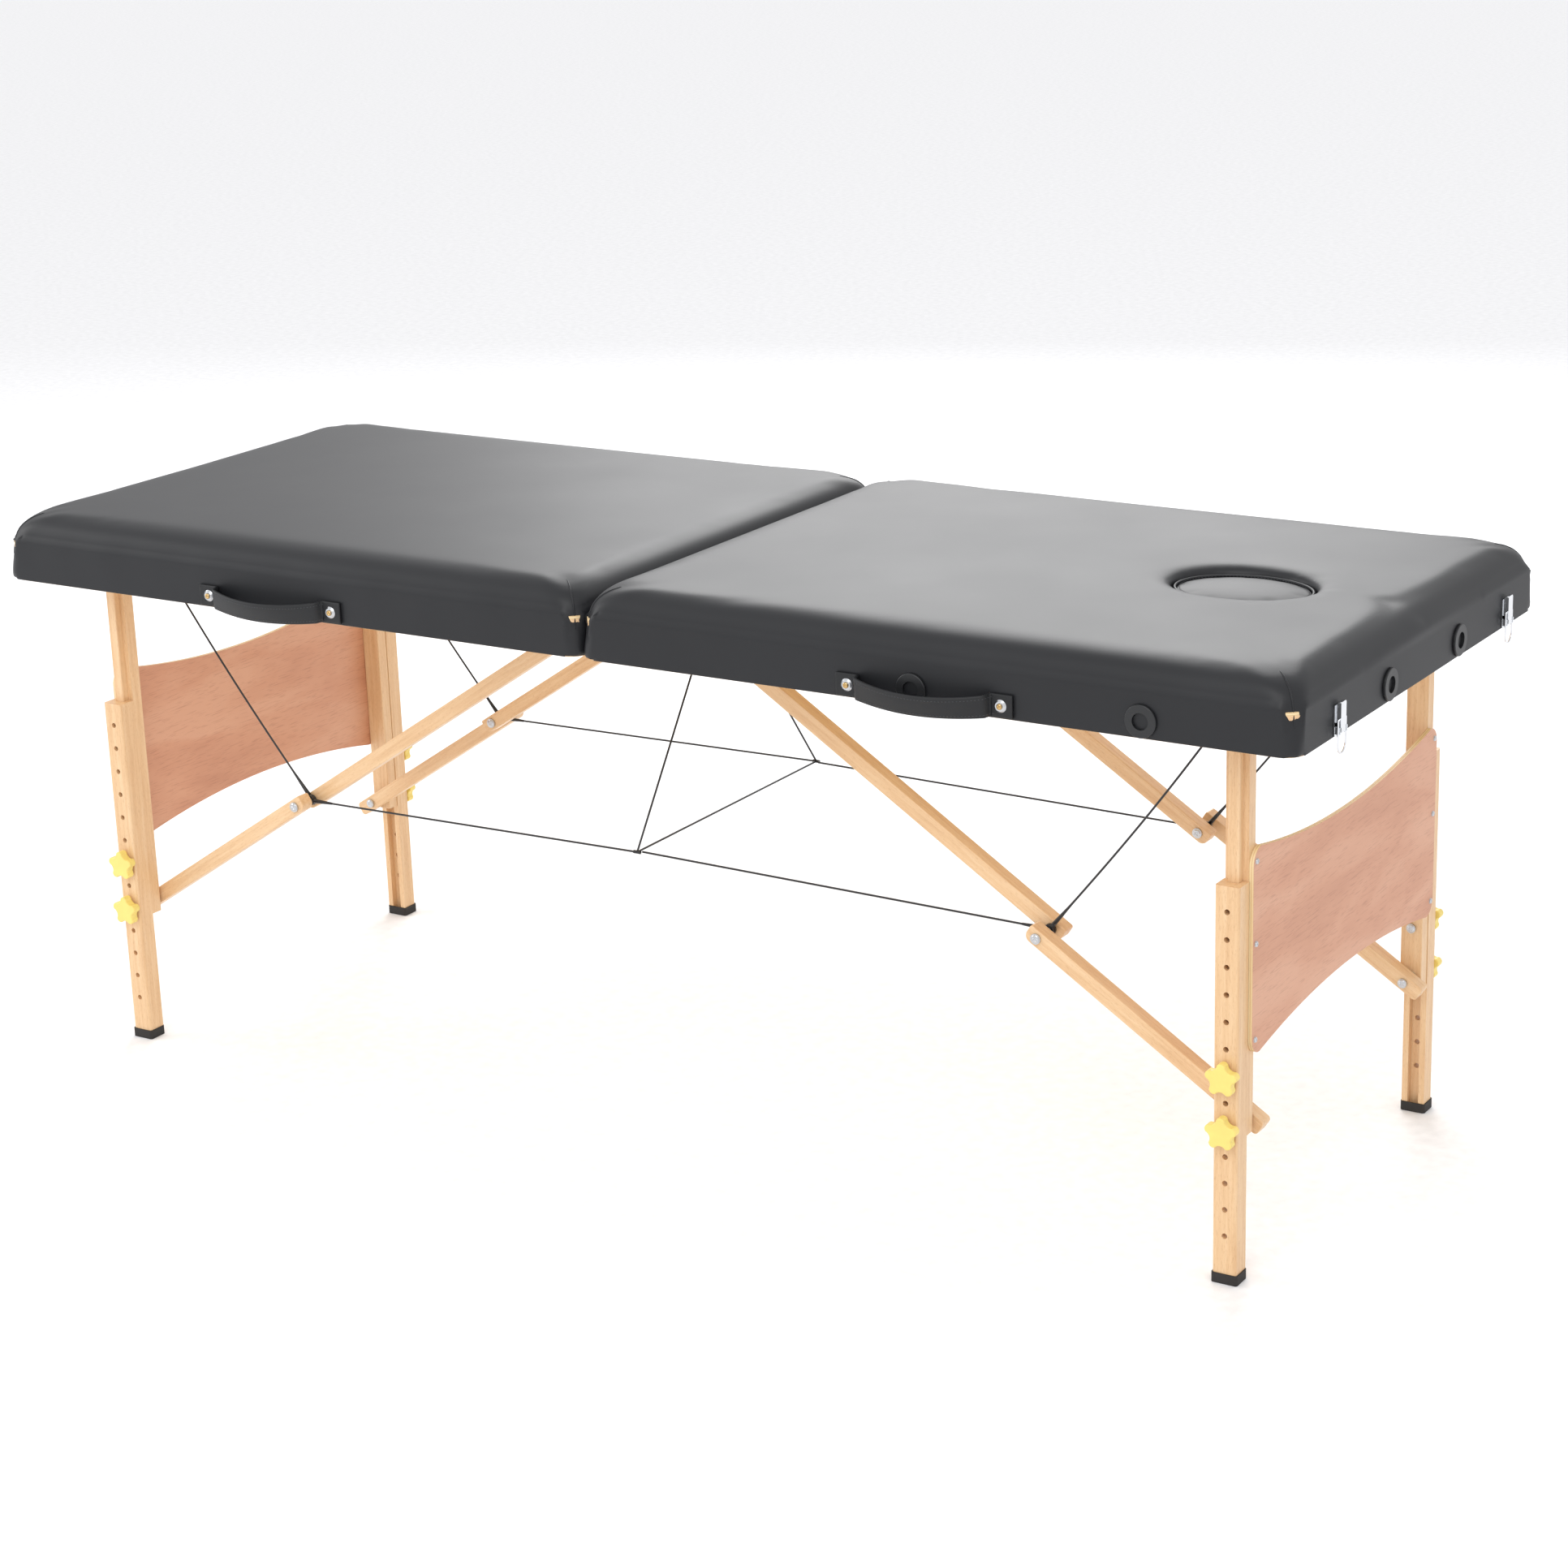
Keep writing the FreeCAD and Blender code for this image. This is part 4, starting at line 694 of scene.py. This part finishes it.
def corner_path(tree, corner, inward, count=60):
    """Rays from a quarter circle outside the corner towards a point under the rolled edge."""
    centre = np.array([corner[0] + inward[0] * SEAM_CENTRE, corner[1] + inward[1] * SEAM_CENTRE,
                       TABLE_TOP - SEAM_CENTRE])
    angle = np.linspace(np.radians(-8), np.radians(78), count)
    out = -np.array([inward[0], inward[1]]) / np.sqrt(2)
    rays = np.c_[np.cos(angle)[:, None] * out[None], np.sin(angle)]
    hits = [tree.ray_cast(Vector(centre + RAY_START * way), Vector(-way)) for way in rays]
    return np.array([hit[0] for hit in hits if hit[0] is not None])


def stitches(path, size=(0.45 * MM, 1.1 * MM)):
    """Short thread beads spaced along a path: ellipsoids of 6 by 4 faces, each turned along it."""
    length = np.concatenate([[0], np.cumsum(np.linalg.norm(np.diff(path, axis=0), axis=1))])
    places = np.arange(STITCH_PITCH / 2, length[-1], STITCH_PITCH)
    centre = np.stack([np.interp(places, length, path[:, k]) for k in range(3)], 1)
    tangent = np.stack([np.interp(places, length, np.gradient(path[:, k])) for k in range(3)], 1)
    tangent /= np.linalg.norm(tangent, axis=1, keepdims=True)
    side = np.cross(tangent, np.array([0.31, 0.47, 0.83]))
    side /= np.linalg.norm(side, axis=1, keepdims=True)
    third = np.cross(tangent, side)
    turn, rise = np.linspace(0, 2 * np.pi, 6, endpoint=False), np.linspace(-1, 1, 5)
    girth = np.sqrt(1 - (rise * 0.96) ** 2)
    ring = (side[:, None, None] * np.cos(turn)[None, None, :, None]
            + third[:, None, None] * np.sin(turn)[None, None, :, None]) * girth[None, :, None, None] * size[0]
    beads = centre[:, None, None] + tangent[:, None, None] * rise[None, :, None, None] * size[1] + ring
    return [(bead, False, True, True) for bead in beads]


for end in ENDS:
    low, high = HALF_BOX[end]
    tree = skin_of(pads[end])
    beads = []
    for x, way_x in ((low[0], 1.0), (high[0], -1.0)):
        for y, way_y in ((low[1], 1.0), (high[1], -1.0)):
            path = corner_path(tree, (x, y), (way_x, way_y))
            ends = np.sin(np.linspace(0.12, np.pi - 0.12, len(path))) ** 0.4
            beads.append((tube(path, SEAM_RADIUS * ends, 8), False, True, True))
    seam = piece(end + "_corner_seams", beads, vinyl)
    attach(seam, end + "_half")
    print(seam.name, len(beads), "seams")

# %% [markdown]
# The face plug is a small cushion of the same vinyl, cut to the hole and pushed in until it
# rests on the deck, a little below the top. It is simulated in the same way. A piped edge
# runs round it, and a thin row of stitches holds the piping.

# %% Face plug
PLUG_HALF = (PLUG_HIGH - PLUG_LOW)[:2] / 2
PIPING_RADIUS = 1.7 * MM


def plug_form():
    """Ellipse rings with a quarter-circle edge of 7 mm, top and bottom closed."""
    roll, inset = 7 * MM, 1.5 * MM
    turn = np.linspace(0, np.pi / 2, 8)
    insets = np.concatenate([[inset], inset + roll * (1 - np.cos(turn))])
    top = PLUG_HIGH[2] - 1.5 * MM
    heights = np.concatenate([[PLUG_LOW[2] + 0.3 * MM], top - roll + roll * np.sin(turn)])
    rings = np.array([ellipse_ring(PLUG_HALF, inset, height) for inset, height in zip(insets, heights)])
    return piece("face_plug_cushion", [(rings, False, True, True)], vinyl)


plug = plug_form()
remesh(plug, 4 * MM)
plug_points = coordinates_of(plug.data)
inflate(plug, plug_points[:, 2] < PLUG_LOW[2] + 8 * MM, 2.5 * MM)
apply_modifier(plug, "SMOOTH", factor=0.5, iterations=3)
plug_points = coordinates_of(plug.data)
away = (plug_points[:, :2] - HOLE_CENTRE[:2]) / (PLUG_HALF - 0.4 * MM)
reach = np.maximum(1.0, np.linalg.norm(away, axis=1, keepdims=True))
plug_points[:, :2] = HOLE_CENTRE[:2] + away / reach * (PLUG_HALF - 0.4 * MM)
plug_points[:, 2] = np.maximum(plug_points[:, 2], PLUG_LOW[2] + 0.2 * MM)
crown = np.clip(1.0 - (away ** 2).sum(axis=1), 0.0, 1.0)
plug_points[:, 2] += (plug_points[:, 2] > PLUG_HIGH[2] - 9 * MM) * crown * 3.0 * MM
write_coordinates(plug.data, plug_points)
plug.data.polygons.foreach_set("use_smooth", [True] * len(plug.data.polygons))
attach(plug, "plug")
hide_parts("face_plug")

rim_path = ellipse_ring(PLUG_HALF, 3.4 * MM, PLUG_HIGH[2] - 0.4 * MM, 160)
rim_tube = tube(np.concatenate([rim_path, rim_path[:1]]), PIPING_RADIUS, 10)[:-1]
piping = piece("face_plug_piping", [(rim_tube, True, True, False)], vinyl)
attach(piping, "plug")
stitch_path = ellipse_ring(PLUG_HALF, 8.5 * MM, PLUG_HIGH[2] + 0.2 * MM, 240)
plug_stitches = piece("face_plug_stitches", stitches(stitch_path), thread)
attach(plug_stitches, "plug")
print("face plug faces", len(plug.data.polygons))

# %% [markdown]
# The carrying straps are stitched vinyl bands. A square tab lies flat under each screw, the
# band turns sharply out from it, bows away from the table and hangs a little with its own
# weight. It is one flat section with rounded edges carried along that route, tilting as it
# leaves the table.

# %% Carrying straps
STRAP_HEIGHT, STRAP_WALL = 27 * MM, 4 * MM
STRAP_BOW, STRAP_STANDOFF, STRAP_TILT = 17 * MM, 10 * MM, np.radians(20)
TAB_HALF = 14.5 * MM
SCREW_REACH = 98.8 * MM
STITCH_MARGIN = 4 * MM
TAB_STEPS = 18


def flat_section(width, wall, radius, per_corner=4):
    """Rounded rectangle: thickness first, then width."""
    return rounded_rectangle((0.0, 0.0), (wall / 2, width / 2), radius, per_corner)


def strap_route(centre_x, count=181):
    """Bow b = 1 - (x / band)^2 from bend to bend; the bend is a smooth step 5 mm long."""
    x = np.linspace(-SCREW_REACH - TAB_HALF, SCREW_REACH + TAB_HALF, count)
    band = SCREW_REACH - TAB_HALF + 2 * MM
    inside = np.clip((band - np.abs(x)) / (5 * MM), 0, 1)
    step = inside ** 2 * (3 - 2 * inside)
    bow = np.clip(1 - (x / band) ** 2, 0, 1)
    tilt = STRAP_TILT * bow ** 0.5 * step
    out = STRAP_WALL / 2 + step * (STRAP_STANDOFF - 1 * MM + STRAP_BOW * bow * np.cos(STRAP_TILT))
    drop = step * STRAP_BOW * bow * np.sin(STRAP_TILT)
    path = np.stack([centre_x + x, -SIDE_FACE - out, STRAP_Z - drop], 1)
    height = np.stack([np.zeros(count), -np.sin(tilt), np.cos(tilt)], 1)
    tangent = np.gradient(path, axis=0)
    tangent /= np.linalg.norm(tangent, axis=1, keepdims=True)
    outward = np.cross(height, tangent)
    return path, outward / np.linalg.norm(outward, axis=1, keepdims=True), height


for end in ENDS:
    low, high = node_box(end + "_handle")
    path, outward, height = strap_route((low[0] + high[0]) / 2)
    band = sweep(path, outward, height, flat_section(STRAP_HEIGHT, STRAP_WALL, 1.6 * MM))
    strap = piece(end + "_strap", [(band, False, True, True)], strap_vinyl)
    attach(strap, end + "_half")
    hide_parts(end + "_handle")
    rows = []
    for share in (-1, 1):
        line = path + height * share * (STRAP_HEIGHT / 2 - STITCH_MARGIN)
        face = line + outward * np.sign(-outward[:, 1:2]) * STRAP_WALL / 2
        rows += stitches(face[TAB_STEPS:-TAB_STEPS])
    sewn = piece(end + "_strap_stitches", rows, thread)
    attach(sewn, end + "_half")
    print(strap.name, "and", len(rows), "stitches")

# %% [markdown]
# Screw heads. A pan head is a shallow dome with a cross pressed into it. The dome's height
# over a disc is h (1 - r^4), and the cross takes away a fixed depth where a point is close
# to either axis and near the middle. A row of these sits on the frame's plain bolt ends.

# %% Pan heads with a cross recess


def pan_head(centre, outward, radius, height, recess=0.9 * MM, rings=17, around=40):
    """Dome height h (1 - r^4), less the recess where |s| or |t| is under 0.14 and r under 0.6."""
    outward = np.asarray(outward, float)
    first = np.array([0.0, 0.0, 1.0])
    second = np.cross(outward, first)
    r = np.linspace(1.0, 0.0, rings)[:, None]
    turn = np.linspace(0, 2 * np.pi, around, endpoint=False)[None, :]
    s, t = r * np.cos(turn), r * np.sin(turn)
    arm = np.minimum(np.abs(s + t), np.abs(s - t)) / np.sqrt(2)
    deep = np.clip((0.17 - arm) / 0.05, 0, 1) * np.clip((0.62 - r) / 0.08, 0, 1)
    rise = height * (1 - r ** 4) + 0.25 * MM - recess * deep
    skirt = np.stack([s[:1] * radius, t[:1] * radius, s[:1] * 0 - 0.3 * MM], -1)
    dome = np.concatenate([skirt, np.stack([s * radius, t * radius, rise], -1)])
    local = dome[..., :1] * first + dome[..., 1:2] * second + dome[..., 2:] * outward
    return (local + np.asarray(centre), False, True, False)


KNEE = np.array([0.553883, 0.358401])
LEG_X = 0.818
CUP_FACE = 0.3598
PANEL_SCREW_YS, PANEL_SCREW_ZS = (-0.260, 0.260), (0.501, 0.404, 0.290)
KNEE_OUTER, KNEE_INNER = 0.2485, 0.1845
INNER_BOLTS = ((0.2227, 0.189), (0.2475, 0.254))


def screw_heads(end, name, heads, material, body):
    """One piece of several heads, riding on a body."""
    made = piece(end + "_" + name, heads, material)
    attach(made, end + "_" + body)


for end in ENDS:
    side = SIGN[end]
    low, high = node_box(end + "_handle")
    screw_heads(end, "strap_screw_heads",
                [pan_head((x, -CUP_FACE, STRAP_Z), (0, -1, 0), 3.6 * MM, 1.4 * MM)
                 for x in (low[0] + STRAP_END_TO_SCREW, high[0] - STRAP_END_TO_SCREW)],
                brass_zinc, "half")
    panel_face = node_box(end + "_panel")[1 if side > 0 else 0][0] + side * 1.0 * MM
    screw_heads(end, "panel_screw_heads",
                [pan_head((panel_face, y, z), (side, 0, 0), 3.3 * MM, 1.0 * MM)
                 for y in PANEL_SCREW_YS for z in PANEL_SCREW_ZS],
                zinc, "legs")
    knee_x, knee_z = side * KNEE[0], KNEE[1]
    screw_heads(end, "knee_screw_heads",
                [pan_head((knee_x, y * KNEE_OUTER, knee_z), (0, y, 0), 5.4 * MM, 1.3 * MM)
                 for y in (-1, 1)],
                zinc, "lower_brace_pair")
    screw_heads(end, "knee_barrel_heads",
                [pan_head((knee_x, y * KNEE_INNER, knee_z), (0, -y, 0), 5.4 * MM, 1.3 * MM)
                 for y in (-1, 1)],
                zinc, "upper_brace_pair")
    screw_heads(end, "height_bolt_heads",
                [pan_head((side * LEG_X, y * inner, z), (0, -y, 0), 5.2 * MM, 1.2 * MM)
                 for y in (-1, 1) for inner, z in INNER_BOLTS],
                zinc, "legs")
print("screw heads placed")

# %% [markdown]
# Slack end cables. Each runs from a knee up to an eye beside the leg. When the table folds,
# the knee rises to the deck and the real cable goes slack and crumples; these pieces ride
# with the half. Taut, the wire still shows a slight curve.

# %% End cables
EYE = np.array([0.806, 0.689])
CABLE_BOW = 5 * MM
CABLE_COAT_RADIUS = 1.35 * MM
KNEE_CLEAR, EYE_CLEAR = 7.2 * MM, 6.6 * MM
LOOP_RADIUS, LOOP_WIRE, LOOP_STEPS = 5.8 * MM, 1.5 * MM, 28
LANES = {"head": 0.2140, "foot": 0.2103}


def end_cable(side, lane, count=48):
    """Straight run plus a sideways bow of CABLE_BOW times sin(pi t)."""
    t = np.linspace(0, 1, count)
    along = EYE - KNEE
    reach = np.linalg.norm(along)
    way = along / reach
    bent = np.array([way[1], -way[0]])
    distance = KNEE_CLEAR + t * (reach - KNEE_CLEAR - EYE_CLEAR)
    flat = KNEE + way * distance[:, None] + bent * (CABLE_BOW * np.sin(np.pi * t))[:, None]
    path = np.stack([side * flat[:, 0], np.full(count, lane), flat[:, 1]], 1)
    sleeve = np.clip(1 - t / 0.1, 0, 1)
    return path, CABLE_COAT_RADIUS + sleeve * 1.6 * MM


for end in ENDS:
    side = SIGN[end]
    grids = []
    for lane in (-LANES[end], LANES[end]):
        path, radii = end_cable(side, lane)
        grids.append((tube(path, radii, 12), False, True, True))
        turn = np.linspace(0, 2 * np.pi, LOOP_STEPS, endpoint=False)
        ring = np.stack([side * (KNEE[0] + LOOP_RADIUS * np.cos(turn)), np.full(LOOP_STEPS, lane),
                         KNEE[1] + LOOP_RADIUS * np.sin(turn)], 1)
        closed = tube(np.concatenate([ring, ring[:1]]), LOOP_WIRE, 8)[:-1]
        grids.append((closed, True, True, False))
    cables = piece(end + "_slack_cables", grids, cable_coat)
    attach(cables, end + "_half")
    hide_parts(end + "_end_cables")
    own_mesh(cables)
    print(cables.name, "placed")

# %% [markdown]
# Light. A plain pale floor runs under the table, the sky is an even near-white, and three
# large soft panels shape the vinyl: one behind for the bright rolled edge, one over the near
# side, and a weak one from the left.

# %% Floor and light
FLOOR_REACH, FLOOR_Z = 30.0, -0.5 * MM
floor_grid = np.array([[[x, y, FLOOR_Z] for x in (-FLOOR_REACH, FLOOR_REACH)]
                       for y in (-FLOOR_REACH, FLOOR_REACH)])
floor_paint = plain_finish("floor_paint", "#f4f4f5", 0.75, relief_mm=0.001)
floor = piece("floor", [(floor_grid, False, False, False)], floor_paint, smooth=False)
world = bpy.data.worlds.new("studio")
bpy.context.scene.world = world
world.use_nodes = True
world.node_tree.nodes["Background"].inputs["Color"].default_value = colour("#fdfdfe")
world.node_tree.nodes["Background"].inputs["Strength"].default_value = 1.0


def soft_panel(name, place, target, size, watts):
    """Square area light at a place, facing a target."""
    light = bpy.data.lights.new(name, "AREA")
    light.size = size
    light.energy = watts
    obj = bpy.data.objects.new(name, light)
    obj.location = place
    obj.rotation_euler = (Vector(target) - Vector(place)).to_track_quat("-Z", "Y").to_euler()
    bpy.context.collection.objects.link(obj)


soft_panel("back_panel", (-1.5, 3.5, 2.8), (0, 0, 0.6), 2.5, 90)
soft_panel("near_panel", (1.0, -3.5, 3.6), (0, 0, 0.6), 2.5, 60)
soft_panel("left_panel", (-4.0, -1.5, 2.0), (0, 0, 0.5), 2.0, 40)
bpy.context.scene.view_settings.view_transform = "Standard"
print("lights ready")
